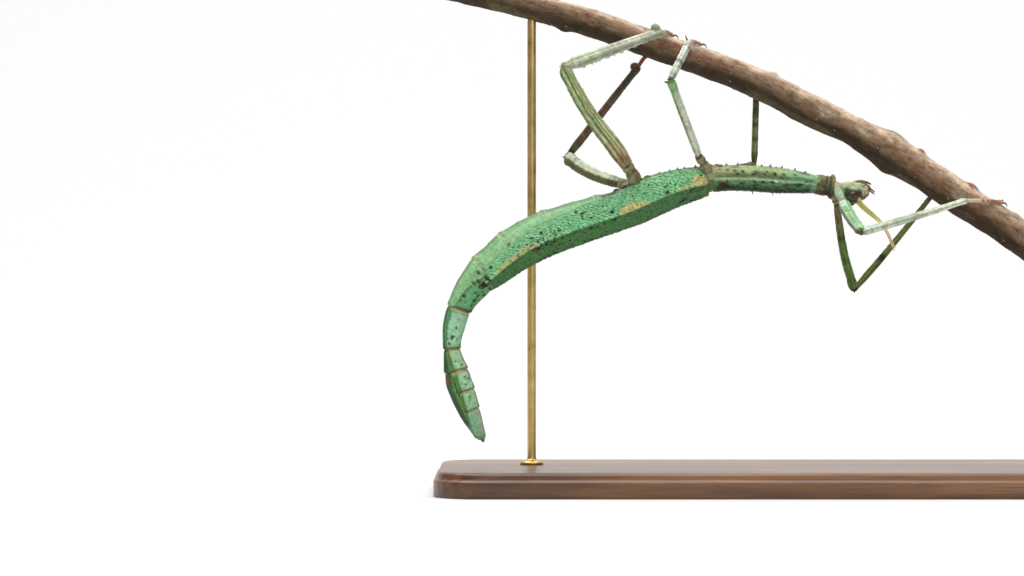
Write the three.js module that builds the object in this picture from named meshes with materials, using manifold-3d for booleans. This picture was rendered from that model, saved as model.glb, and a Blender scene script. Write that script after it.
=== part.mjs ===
// A winged female stick insect hanging under a cut length of branch, life-size, on a plain display stand.
// Millimetres, +Z up. The origin is the middle of the stand's underside. The insect's head points to +X, its belly is up, and its left side faces -Y.
import * as THREE from "three";
import { mergeVertices } from "three/addons/utils/BufferGeometryUtils.js";
import Module from "manifold-3d";

const wasm = await Module();
wasm.setup();

// ---------------------------------------------------------------- driving dimensions
const GAP = 0.3; // clearance kept between pieces that touch
const BODY_PLANE_Y = -4; // the body's own plane, in front of the branch
const ROLL_FRONT = 28; // degrees the back is turned towards -Y, at head, thorax and wings
const ROLL_TIP = 8; // the same at the tip of the hanging abdomen

const BASE = { length: 130, depth: 54, height: 5, corner: 9, bevel: 0.7 };
const ROD = { radius: 0.9, footRadius: 2.4, footHeight: 0.9 };
const ROD_LEFT = { x: -45.6, y: 5.4 };
const ROD_RIGHT = { x: 56, y: -5.2 };

// The branch: x, y, z of its axis and its radius there.
const PERCH = [
  [-64.2, 5.4, 102.1, 2.6],
  [-50.0, 5.4, 98.95, 2.66],
  [-34.6, 5.4, 94.85, 2.85],
  [-17.2, 5.2, 88.75, 2.85],
  [-3.4, 4.6, 83.75, 3.02],
  [4.5, 4.0, 80.1, 3.15],
  [12.0, 3.0, 76.1, 3.25],
  [18.6, 2.0, 72.8, 3.0],
  [26.4, 0.2, 68.05, 3.72],
  [33.2, -1.2, 63.7, 3.38],
  [41.7, -3.0, 57.7, 3.4],
  [49.0, -4.2, 53.0, 3.35],
  [60.4, -5.9, 44.3, 3.4],
];
// Buds and knots: share of the branch's length, angle round it (0 = up, 90 = towards -Y), height, radius.
const BUDS = [
  [0.5, 10, 0.8, 0.75],
  [0.738, 5, 0.6, 0.8],
  [0.826, 8, 1.35, 0.9],
  [0.19, 170, 0.5, 0.9],
];

// The body's axis in its plane, x and z from the neck joint to the tip of the abdomen.
const BODY_AXIS = [
  [15.6, 60.9], [8.0, 61.88], [-4.4, 62.8], [-12.6, 62.3], [-20.0, 60.64],
  [-28.4, 57.4], [-37.2, 54.8], [-45.2, 52.0], [-52.0, 47.6], [-57.2, 42.2],
  [-60.3, 36.6], [-61.5, 29.4], [-60.0, 21.8], [-58.0, 16.2], [-55.7, 10.3],
];
// Where each ring of the body starts, as millimetres along that axis.
const RINGS = {
  prothorax: 0.75, mesothorax: 4.65, metathorax: 25.3, abdomen_1: 41, abdomen_2: 49.2, abdomen_3: 60.2,
  abdomen_4: 68.7, abdomen_5: 75.3, abdomen_6: 84.6, abdomen_7: 92.7, abdomen_8: 97.2, abdomen_9: 101.6,
  abdomen_10: 105.6, end: 112,
};
// Body section: distance along the axis, half width, depth to the belly, depth to the back.
const TRUNK = [
  [0.7, 1.7, 1.9, 1.9], [1.3, 2.05, 2.3, 2.3], [2.1, 1.8, 1.95, 1.95], [4.6, 1.75, 1.85, 1.85],
  [7.7, 2.0, 2.15, 2.15], [12.5, 2.25, 2.6, 2.6], [20, 2.25, 2.6, 2.6], [25.3, 2.3, 2.62, 2.62],
  [31.8, 2.35, 3.0, 2.9], [36, 2.4, 3.2, 3.1], [40, 2.4, 3.25, 3.2], [44.5, 2.35, 3.05, 3.05],
  [49, 2.4, 3.3, 3.15], [59, 2.45, 3.5, 3.4], [67, 2.45, 3.6, 3.5], [73, 2.4, 3.4, 3.3],
  [78, 2.45, 3.1, 3.85], [81.3, 2.3, 2.7, 3.25], [84.6, 2.0, 2.35, 2.5], [88.4, 1.85, 2.25, 2.15],
  [92.6, 1.6, 1.9, 1.55], [97.1, 1.9, 2.5, 2.3], [101.6, 1.75, 0.3, 2.5], [105.6, 1.35, 0.5, 2.0],
  [109, 0.95, 0.35, 1.5], [112, 0.4, 0.2, 0.6],
];
// Folded wings: distance along the axis, half width, height of the ridge over the axis.
const WING_BOX = [
  [26, 2.6, 2.3], [28.3, 2.85, 2.65], [31.8, 3.05, 3.25], [39, 3.25, 4.0], [46, 3.25, 4.05],
  [53, 3.25, 4.4], [61.5, 3.25, 4.85], [69, 3.15, 4.55], [74, 2.95, 4.15], [78.8, 2.7, 3.85],
];
const WING_CROWN = 0.35; // how much higher the wings are along the midline than at the ridge
// Lower edge of the side panel: distance along the axis, height over the axis (below it is negative).
const TEGMEN_EDGE = [[26, 0.6], [28.1, -1.2], [31.8, -1.8], [38, -1.75], [41.6, -1.6], [43.4, -0.3], [44.6, 1.7], [45.4, 3.2]];
const HINDWING_EDGE = [[40, -0.8], [50, -0.85], [56, 0.0], [60.5, 0.4], [67.2, 1.5], [73, 1.4], [76, 2.0], [78.6, 3.0]];
// Inner edge of the forewing's top panel, as a distance from the midline.
const TEGMEN_INNER = [[26, 0.15], [30.5, 0.15], [33, 1.9], [45.4, 2.5]];

const HEAD = { length: 6.3, pitch: 0 }; // straight axis from the neck to the mouth
const HEAD_SECTION = [
  [-0.05, 0.95, 0.8, 1.0], [0.6, 1.35, 1.0, 1.6], [1.8, 1.85, 1.1, 2.6], [3.0, 2.0, 1.15, 3.0],
  [4.2, 1.85, 1.2, 2.65], [5.4, 1.45, 1.05, 1.75], [6.3, 0.8, 0.5, 0.8],
];
const EYE = { along: 3.0, out: 1.38, up: 2.2, radius: 0.8, depth: 0.66 };
const ANTENNA = { radius: 0.36, tip: 0.25 };

// Legs: joint places from the body outwards, then the foot's path, and each length's width and thickness.
const LEGS = {
  foreleg_left: {
    joints: [[14.9, -4.9, 61.4], [16.3, -8.0, 57.8], [18.05, -25.6, 51.6], [40.73, -7.4, 58.2]],
    foot: [[44.75, -6.8, 58.1], [47.9, -5.3, 58.15]],
  },
  foreleg_right: {
    joints: [[14.5, -3.0, 60.6], [15.6, -0.8, 58.0], [19.9, 6.0, 40.4], [37.1, 2.2, 62.0]],
    foot: [[39.3, 1.5, 60.95], [42.2, 0.5, 59.3]],
  },
  midleg_left: {
    joints: [[-9.4, -5.4, 62.8], [-12.38, -7.2, 66.9], [-18.3, -12.2, 82.0], [-14.0, 1.6, 90.12]],
    foot: [[-13.1, 3.4, 90.8], [-11.8, 5.0, 89.9]],
  },
  midleg_right: {
    joints: [[-9.5, -3.2, 62.6], [-10.5, 0.4, 64.1], [0.1, 13.4, 65.85], [0.2, 8.6, 81.37]],
    foot: [[1.2, 8.0, 81.6], [3.3, 7.3, 82.1]],
  },
  hindleg_left: {
    joints: [[-23.9, -5.4, 60.8], [-26.8, -7.6, 65.3], [-39.5, -13.0, 84.4], [-19.54, 1.6, 92.5]],
    foot: [[-18.5, 3.7, 92.9], [-17.4, 5.6, 91.8]],
  },
  hindleg_right: {
    joints: [[-25.4, -3.0, 59.6], [-27.4, 0.0, 61.8], [-38.21, 19.0, 67.9], [-23.9, 8.4, 85.9]],
    foot: [[-22.7, 8.0, 87.3], [-21.4, 7.3, 88.5]],
  },
};
const LIMB = {
  foreleg: { coxa: 0.85, femur: [0.72, 1.0], tibia: [0.82, 0.5], flat: 0.78, tarsus: 0.36, hook: -0.2, bow: 0.55, arch: 0.3, knob: 0 },
  midleg: { coxa: 1.1, femur: [0.72, 1.0], tibia: [0.82, 0.74], flat: 0.78, tarsus: 0.36, hook: 0.1, bow: 0.1, arch: 0, knob: 0 },
  hindleg: { coxa: 1.4, femur: [1.25, 1.42], tibia: [1.16, 0.86], flat: 0.76, tarsus: 0.38, hook: 0.35, bow: 0.85, arch: 0, knob: 0.85 },
};
const STOUTNESS = { left: 1.05, right: 0.92 };

// ---------------------------------------------------------------- materials
const finish = (color, roughness = 0.5, metalness = 0) => () => new THREE.MeshStandardMaterial({ color, roughness, metalness });
const MATERIAL = {
  cuticle: finish(0x7fae84, 0.5),
  teal: finish(0x63b58d, 0.5),
  pale: finish(0xb7cfae, 0.5),
  olive: finish(0x6f7a46, 0.5),
  brown: finish(0x6b5636, 0.55),
  red: finish(0x7d3c2c, 0.45),
  eye: finish(0x50373c, 0.25),
  antenna: finish(0xb5a852, 0.5),
  bark: finish(0x8c7362, 0.85),
  wood: finish(0x6a4a30, 0.45),
  brass: finish(0xb08d4a, 0.3, 1),
};

// ---------------------------------------------------------------- helpers
const vec = (p) => new THREE.Vector3(...p);
const Y_AXIS = new THREE.Vector3(0, 1, 0);

// Smooth curve through a few stations [x, a, b, ...]: each value at x.
function between(stations, x) {
  const last = stations.length - 1;
  if (x <= stations[0][0]) return stations[0].slice(1);
  if (x >= stations[last][0]) return stations[last].slice(1);
  let i = 0;
  while (x > stations[i + 1][0]) i++;
  const [p, q] = [stations[i], stations[i + 1]];
  const before = stations[Math.max(i - 1, 0)];
  const after = stations[Math.min(i + 2, last)];
  const h = q[0] - p[0];
  const t = (x - p[0]) / h;
  return p.slice(1).map((v, k) => {
    const w = q[k + 1];
    const slopeP = (w - before[k + 1]) / (q[0] - before[0]) * h;
    const slopeQ = (after[k + 1] - v) / (after[0] - p[0]) * h;
    const t2 = t * t, t3 = t2 * t;
    return (2 * t3 - 3 * t2 + 1) * v + (t3 - 2 * t2 + t) * slopeP + (3 * t2 - 2 * t3) * w + (t3 - t2) * slopeQ;
  });
}

// A closed body made of rings: a cylinder whose vertices are moved to point(i, j), side i of ring j.
function loft(sides, rings, point) {
  const geometry = new THREE.CylinderGeometry(1, 1, 1, sides, rings);
  geometry.deleteAttribute("normal");
  geometry.deleteAttribute("uv");
  const position = geometry.attributes.position;
  const middle = (j) => {
    const sum = new THREE.Vector3();
    for (let i = 0; i < sides; i++) sum.add(point(i, j));
    return sum.divideScalar(sides);
  };
  for (let k = 0; k < position.count; k++) {
    const x = position.getX(k), y = position.getY(k), z = position.getZ(k);
    const j = Math.round((0.5 - y) * rings);
    const turn = Math.round((Math.atan2(x, z) / (2 * Math.PI)) * sides);
    const p = Math.hypot(x, z) < 0.5 ? middle(j) : point(((turn % sides) + sides) % sides, j);
    position.setXYZ(k, p.x, p.y, p.z);
  }
  return facingOut(mergeVertices(geometry, 1e-5));
}

function facingOut(geometry) {
  const p = geometry.attributes.position, index = geometry.index;
  const [a, b, c] = [new THREE.Vector3(), new THREE.Vector3(), new THREE.Vector3()];
  let volume = 0;
  for (let k = 0; k < index.count; k += 3) {
    a.fromBufferAttribute(p, index.getX(k));
    b.fromBufferAttribute(p, index.getX(k + 1));
    c.fromBufferAttribute(p, index.getX(k + 2));
    volume += a.dot(b.cross(c));
  }
  if (volume < 0) {
    for (let k = 0; k < index.count; k += 3) {
      const first = index.getX(k);
      index.setX(k, index.getX(k + 1));
      index.setX(k + 1, first);
    }
  }
  return geometry;
}

function bare(geometry) {
  for (const name of Object.keys(geometry.attributes)) if (name !== "position") geometry.deleteAttribute(name);
  return mergeVertices(geometry, 1e-5);
}

const solid = (geometry) =>
  new wasm.Manifold(
    new wasm.Mesh({
      numProp: 3,
      vertProperties: new Float32Array(geometry.attributes.position.array),
      triVerts: new Uint32Array(geometry.index.array),
    }),
  );

// Cuts pieces off a solid, keeping its largest remaining body.
function without(body, ...cutters) {
  let left = body;
  for (const cutter of cutters) left = left.subtract(cutter);
  return left.decompose().reduce((best, one) => (one.volume() > best.volume() ? one : best));
}

function joined(body, ...others) {
  let all = body;
  for (const other of others) all = all.add(other);
  return all;
}

function geometryOf(body) {
  const mesh = body.getMesh();
  const geometry = new THREE.BufferGeometry();
  geometry.setAttribute("position", new THREE.BufferAttribute(new Float32Array(mesh.vertProperties), 3));
  geometry.setIndex(new THREE.BufferAttribute(new Uint32Array(mesh.triVerts), 1));
  return mergeVertices(geometry, 1e-4);
}

function place(parent, name, body, material) {
  const geometry = body.isBufferGeometry ? body : geometryOf(body);
  const mesh = new THREE.Mesh(geometry, material());
  mesh.name = name;
  parent.add(mesh);
  return mesh;
}

// A tapering limb along a curve. radius(t) is [half width, half thickness] and side is the direction of its width.
function limb(curve, sides, rings, radius, side, grow = 0, ends = [0, 1]) {
  const length = curve.getLength();
  const reach = grow / length;
  return loft(sides, rings, (i, j) => {
    const t = THREE.MathUtils.lerp(ends[0] - reach, ends[1] + reach, j / rings);
    const inside = THREE.MathUtils.clamp(t, 0, 1);
    const p = curve.getPointAt(inside);
    const along = curve.getTangentAt(inside);
    p.addScaledVector(along, (t - inside) * length);
    const wide = side.clone().addScaledVector(along, -side.dot(along)).normalize();
    const thick = along.clone().cross(wide);
    const [w, h] = radius(inside);
    const angle = ((i + 0.5) / sides) * 2 * Math.PI;
    return p.addScaledVector(wide, Math.cos(angle) * (w + grow)).addScaledVector(thick, Math.sin(angle) * (h + grow));
  });
}

function cone(from, direction, height, radius, sides = 5) {
  const geometry = bare(new THREE.ConeGeometry(radius, height * 1.35, sides));
  geometry.translate(0, height * 0.325, 0);
  geometry.applyQuaternion(new THREE.Quaternion().setFromUnitVectors(Y_AXIS, direction.clone().normalize()));
  geometry.translate(from.x, from.y, from.z);
  return solid(geometry);
}

// ---------------------------------------------------------------- the body's own frame
const axis = new THREE.CatmullRomCurve3(BODY_AXIS.map(([x, z]) => new THREE.Vector3(x, BODY_PLANE_Y, z)));
axis.arcLengthDivisions = 800;
const AXIS_LENGTH = axis.getLength();

function bodyFrame(s) {
  const t = THREE.MathUtils.clamp(s / AXIS_LENGTH, 0, 1);
  const at = axis.getPointAt(t);
  const back = axis.getTangentAt(t);
  at.addScaledVector(back, s - t * AXIS_LENGTH);
  const up = new THREE.Vector3(back.z, 0, -back.x); // in the body's plane, on the belly's side
  const roll = THREE.MathUtils.degToRad(THREE.MathUtils.lerp(ROLL_FRONT, ROLL_TIP, THREE.MathUtils.smoothstep(s, 58, 108)));
  const dorsal = up.clone().multiplyScalar(-Math.cos(roll)).addScaledVector(Y_AXIS, -Math.sin(roll));
  const left = up.clone().multiplyScalar(Math.sin(roll)).addScaledVector(Y_AXIS, -Math.cos(roll));
  return { at, back, dorsal, left };
}
const bodyPoint = (s, l, d) => {
  const f = bodyFrame(s);
  return f.at.addScaledVector(f.left, l).addScaledVector(f.dorsal, d);
};

// An oval section, a little squared, with different depths to the belly and to the back.
function oval(angle, a, belly, back, square = 0.9) {
  const c = Math.cos(angle), s = Math.sin(angle);
  const l = Math.sign(c) * Math.abs(c) ** square * a;
  const d = Math.sign(s) * Math.abs(s) ** square * (s > 0 ? back : belly);
  return [l, d];
}

function trunk(from, to, rings, { sides = 14, grow = 0, rim = 0.05 } = {}) {
  return loft(sides, rings, (i, j) => {
    const t = j / rings;
    const s = THREE.MathUtils.lerp(from - grow, to + grow, t);
    const [a, belly, back] = between(TRUNK, s);
    const flare = 1 + rim * THREE.MathUtils.smoothstep(t, 0.55, 1) - rim * 0.6 * (1 - THREE.MathUtils.smoothstep(t, 0, 0.3));
    const [l, d] = oval(((i + 0.5) / sides) * 2 * Math.PI, a * flare + grow, belly * flare + grow, back * flare + grow);
    return bodyPoint(s, l, d);
  });
}

const model = new THREE.Group();
const insect = new THREE.Group();
const stand = new THREE.Group();
model.add(insect, stand);

// ---------------------------------------------------------------- the branch
const perchCurve = new THREE.CatmullRomCurve3(PERCH.map((p) => vec(p)));
perchCurve.arcLengthDivisions = 600;
const perchRadii = PERCH.map((p) => [p[0], p[3]]);
function perchBody(grow = 0, sides = 10, rings = 24) {
  return solid(limb(perchCurve, sides, rings, (t) => {
    const p = perchCurve.getPointAt(t);
    const r = between(perchRadii, p.x)[0] * (1 + 0.025 * Math.sin(p.x * 0.9) * Math.cos(p.x * 0.37));
    return [r, r];
  }, new THREE.Vector3(0, 0, 1), grow));
}
const buds = BUDS.map(([share, turn, height, radius]) => {
  const p = perchCurve.getPointAt(share);
  const along = perchCurve.getTangentAt(share);
  const up = new THREE.Vector3(0, 0, 1).addScaledVector(along, -along.z).normalize();
  const direction = up.applyAxisAngle(along, THREE.MathUtils.degToRad(turn));
  const r = between(perchRadii, p.x)[0];
  return cone(p.clone().addScaledVector(direction, r * 0.93), direction.clone().addScaledVector(along, 0.25), height, radius, 6);
});
const perch = joined(perchBody(), ...buds);
const perchRoom = perchBody(GAP);

// ---------------------------------------------------------------- the stand
const half = { x: BASE.length / 2 - BASE.bevel, y: BASE.depth / 2 - BASE.bevel };
const outline = new THREE.Shape();
const corner = BASE.corner;
outline.moveTo(-half.x + corner, -half.y);
outline.lineTo(half.x - corner, -half.y);
outline.absarc(half.x - corner, -half.y + corner, corner, -Math.PI / 2, 0);
outline.lineTo(half.x, half.y - corner);
outline.absarc(half.x - corner, half.y - corner, corner, 0, Math.PI / 2);
outline.lineTo(-half.x + corner, half.y);
outline.absarc(-half.x + corner, half.y - corner, corner, Math.PI / 2, Math.PI);
outline.lineTo(-half.x, -half.y + corner);
outline.absarc(-half.x + corner, -half.y + corner, corner, Math.PI, 1.5 * Math.PI);
const plate = new THREE.ExtrudeGeometry(outline, {
  depth: BASE.height - 2 * BASE.bevel,
  bevelThickness: BASE.bevel,
  bevelSize: BASE.bevel,
  bevelSegments: 1,
  curveSegments: 3,
});
plate.translate(0, 0, BASE.bevel);
place(stand, "stand_base", bare(plate), MATERIAL.wood);

function rod(name, { x, y }) {
  const z = between(PERCH.map((p) => [p[0], p[2]]), x)[0];
  const foot = BASE.height + GAP;
  const profile = [
    [0, foot], [ROD.footRadius, foot], [ROD.footRadius, foot + ROD.footHeight * 0.6], [ROD.footRadius - 0.5, foot + ROD.footHeight],
    [ROD.radius, foot + ROD.footHeight], [ROD.radius, z], [0, z],
  ].map(([r, h]) => new THREE.Vector2(r, h));
  const turned = new THREE.LatheGeometry(profile, 12);
  turned.rotateX(Math.PI / 2);
  turned.translate(x, y, 0);
  place(stand, name, without(solid(facingOut(bare(turned))), perchRoom), MATERIAL.brass);
}
rod("stand_rod_left", ROD_LEFT);
rod("stand_rod_right", ROD_RIGHT);
place(stand, "perch_branch", perch, MATERIAL.bark);

// ---------------------------------------------------------------- the trunk
const trunkRoom = solid(trunk(0.4, 99, 44, { sides: 16, grow: GAP, rim: 0 }));

// Rows of short spines: distance along the axis, side (+1 left), belly or back (-1 or +1), height.
function spines(list, spread) {
  return list.map(([s, side, face, height]) => {
    const [a, belly, back] = between(TRUNK, s);
    const angle = Math.atan2(face, side * spread);
    const [l, d] = oval(angle, a, belly, back);
    const f = bodyFrame(s);
    const out = f.left.clone().multiplyScalar(l / (a * a)).addScaledVector(f.dorsal, d / (belly * belly)).normalize();
    return cone(bodyPoint(s, l * 0.97, d * 0.97), out, height, 0.28, 4);
  });
}
const rows = (places, face, height) => places.flatMap((s) => [[s, 1, face, height], [s + 0.5, -1, face, height]]);
const mesoSpines = spines([...rows([8.7, 11.3, 13.7, 15.1, 18.3, 19.9, 22.3], -1, 0.6), ...rows([11.5, 13.3, 17.3, 20.3], 1, 0.75)], 0.62);
const metaSpines = spines(rows([28.3, 30.4, 32.6, 35.2, 37.6], -1, 0.5), 0.62);

const names = Object.keys(RINGS);
const coreRings = { prothorax: 5, mesothorax: 6, metathorax: 5, abdomen_2: 3, abdomen_5: 4, abdomen_10: 4 };
for (let k = 0; k < names.length - 1; k++) {
  const name = names[k];
  const from = RINGS[name] + (k ? GAP / 2 : 0);
  const to = RINGS[names[k + 1]] - (k < names.length - 2 ? GAP / 2 : 0);
  let body = solid(trunk(from, to, coreRings[name] ?? 3, { sides: 12 }));
  if (name === "mesothorax") body = joined(body, ...mesoSpines);
  if (name === "metathorax") body = joined(body, ...metaSpines);
  if (name === "abdomen_10") {
    for (const side of [1, -1]) {
      const root = bodyPoint(110, side * 0.55, 0.55);
      body = joined(body, cone(root, bodyPoint(113, side * 0.75, 0.45).sub(root), 2.1, 0.34, 6));
    }
  }
  place(insect, name, body, k < 1 ? MATERIAL.brown : k < 4 ? MATERIAL.cuticle : MATERIAL.teal);
}

// The keeled blade under the tip of the abdomen.
const OPERCULUM = [[97.5, 1.6, 0.1, 2.5], [99.5, 1.6, 0.65, 2.85], [102, 1.35, 0.85, 2.65], [106, 1.0, 0.95, 2.25], [109.5, 0.6, 0.75, 1.4], [111.2, 0.3, 0.5, 0.95]];
function operculumBody() {
  const sides = 10, rings = 6;
  return solid(loft(sides, rings, (i, j) => {
    const s = THREE.MathUtils.lerp(97.55, 111.2, j / rings);
    const [a, top, keel] = between(OPERCULUM, s);
    const angle = ((i + 0.5) / sides) * 2 * Math.PI;
    const c = Math.cos(angle), v = Math.sin(angle);
    const mid = (top + keel) / 2, deep = (keel - top) / 2;
    return bodyPoint(s, c * a * (v > 0 ? 1 : Math.max(0.25, 1 + v * 0.55)), -(mid - v * deep));
  }));
}
const tipRoom = solid(trunk(96.9, 112, 12, { sides: 12, grow: GAP }));
place(insect, "operculum", without(operculumBody(), tipRoom), MATERIAL.olive);

// ---------------------------------------------------------------- folded wings
// One side's block out to the wing's outer surface; the trunk's room is cut out of it, which leaves the shell.
function wingBlock(side, from, to, rings, edge, inner, grow = 0) {
  return solid(loft(9, rings, (i, j) => {
    const s = THREE.MathUtils.lerp(from - grow, to + grow, j / rings);
    const [w, ridge] = between(WING_BOX, s);
    const low = Math.min(between(edge, s)[0], ridge - 0.35) - grow;
    const start = Math.min(inner ? between(inner, s)[0] : GAP / 2, w - 0.7) - grow;
    const crown = (l) => ridge + WING_CROWN * (1 - (l / w) ** 2) + grow;
    const W = w + grow;
    const ring = [
      [start, crown(start)], [THREE.MathUtils.lerp(start, W, 0.5), crown(THREE.MathUtils.lerp(start, w, 0.5))],
      [W - 0.28, ridge + grow], [W, ridge - 0.3 + grow], [W + 0.02, THREE.MathUtils.lerp(ridge - 0.3, low, 0.5)], [W - 0.05, low + 0.05],
      [THREE.MathUtils.lerp(W, start, 0.35), low], [start, low], [start, THREE.MathUtils.lerp(low, ridge, 0.5)],
    ];
    const [l, d] = ring[i];
    return bodyPoint(s, side * l, d);
  }));
}
const coreRoom = solid(trunk(24.6, 84, 13, { sides: 12, grow: GAP, rim: 0.03 }));
const wings = [];
for (const [side, name] of [[1, "left"], [-1, "right"]]) {
  const tegmen = without(wingBlock(side, 26.2, 45.3, 9, TEGMEN_EDGE, TEGMEN_INNER), coreRoom);
  const tegmenRoom = wingBlock(side, 26.2, 45.3, 9, TEGMEN_EDGE, TEGMEN_INNER, GAP);
  const hindwing = without(wingBlock(side, 27.2, 78.6, 14, HINDWING_EDGE, null), coreRoom, tegmenRoom);
  wings.push(wingBlock(side, 26.2, 45.3, 9, TEGMEN_EDGE, TEGMEN_INNER, GAP), wingBlock(side, 40, 60, 8, HINDWING_EDGE, null, GAP));
  place(insect, `tegmen_${name}`, tegmen, MATERIAL.teal);
  place(insect, `hindwing_${name}`, hindwing, MATERIAL.teal);
}

// ---------------------------------------------------------------- the head
const headGroup = new THREE.Group();
insect.add(headGroup);
const neck = bodyFrame(0);
const forward = neck.back.clone().negate().applyAxisAngle(Y_AXIS, THREE.MathUtils.degToRad(-HEAD.pitch)).normalize();
const headDorsal = neck.dorsal.clone().addScaledVector(forward, -neck.dorsal.dot(forward)).normalize();
const headLeft = neck.left.clone().addScaledVector(forward, -neck.left.dot(forward)).normalize();
const headPoint = (x, l, d) => neck.at.clone().addScaledVector(forward, x).addScaledVector(headLeft, l).addScaledVector(headDorsal, d);

function headBody(grow = 0) {
  const sides = 12, rings = 8;
  return solid(loft(sides, rings, (i, j) => {
    const x = THREE.MathUtils.lerp(0.05 - grow, HEAD.length + grow, j / rings);
    const [a, belly, back] = between(HEAD_SECTION, x);
    const [l, d] = oval(((i + 0.5) / sides) * 2 * Math.PI, a + grow, belly + grow, back + grow, 0.88);
    return headPoint(x, l, d);
  }));
}
function eyeBody(side, grow = 0) {
  const ball = bare(new THREE.SphereGeometry(1, 10, 7));
  ball.scale(EYE.radius + grow, EYE.radius + grow, EYE.depth + grow);
  const out = headLeft.clone().multiplyScalar(side * 0.8).addScaledVector(headDorsal, 0.6).normalize();
  ball.applyQuaternion(new THREE.Quaternion().setFromUnitVectors(new THREE.Vector3(0, 0, 1), out));
  const at = headPoint(EYE.along, side * EYE.out, EYE.up);
  ball.translate(at.x, at.y, at.z);
  return solid(facingOut(ball));
}
const throatRoom = solid(trunk(0.75, 3, 3, { sides: 14, grow: GAP }));
place(headGroup, "head", without(headBody(), eyeBody(1, GAP * 0.8), eyeBody(-1, GAP * 0.8), throatRoom), MATERIAL.olive);
place(headGroup, "eye_left", eyeBody(1), MATERIAL.eye);
place(headGroup, "eye_right", eyeBody(-1), MATERIAL.eye);

const headRoom = headBody(GAP);
for (const [side, name] of [[1, "left"], [-1, "right"]]) {
  const curve = new THREE.CatmullRomCurve3([
    headPoint(4.1, side * 0.7, 1.7),
    headPoint(5.3, side * 0.9, 3.4),
    headPoint(9.4, side * 0.75, 7.15),
    headPoint(12.2, side * 1.0, 12.5),
  ]);
  const taper = (t) => {
    const r = THREE.MathUtils.lerp(ANTENNA.radius, ANTENNA.tip, THREE.MathUtils.smoothstep(t, 0.1, 0.62));
    return [r, r];
  };
  place(headGroup, `antenna_${name}`, without(solid(limb(curve, 7, 9, taper, headLeft)), headRoom), MATERIAL.antenna);
}

// Mouthparts: a lobed plate under the front of the head with its four feelers.
function palp(points, radius) {
  return solid(limb(new THREE.CatmullRomCurve3(points.map(([x, l, d]) => headPoint(x, l, d))), 5, 3, (t) => {
    const r = radius * (1 - 0.25 * t);
    return [r, r];
  }, headLeft));
}
const lobe = bare(new THREE.SphereGeometry(1, 8, 6));
lobe.scale(1.5, 0.95, 0.55);
lobe.applyMatrix4(new THREE.Matrix4().makeBasis(forward, headLeft, headDorsal.clone()));
const lobeAt = headPoint(4.4, 0, -1.3);
lobe.translate(lobeAt.x, lobeAt.y, lobeAt.z);
const mouth = joined(
  solid(facingOut(lobe)),
  ...[1, -1].flatMap((side) => [
    palp([[2.9, side * 0.45, -1.2], [4.2, side * 0.85, -2.05], [5.4, side * 1.0, -1.9], [6.4, side * 1.0, -1.3]], 0.3),
    palp([[5.0, side * 0.3, -1.4], [5.9, side * 0.5, -1.25], [6.6, side * 0.56, -0.4], [7.5, side * 0.6, 0.35]], 0.27),
  ]),
);
place(headGroup, "mouthparts", without(mouth, headRoom), MATERIAL.red);

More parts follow.
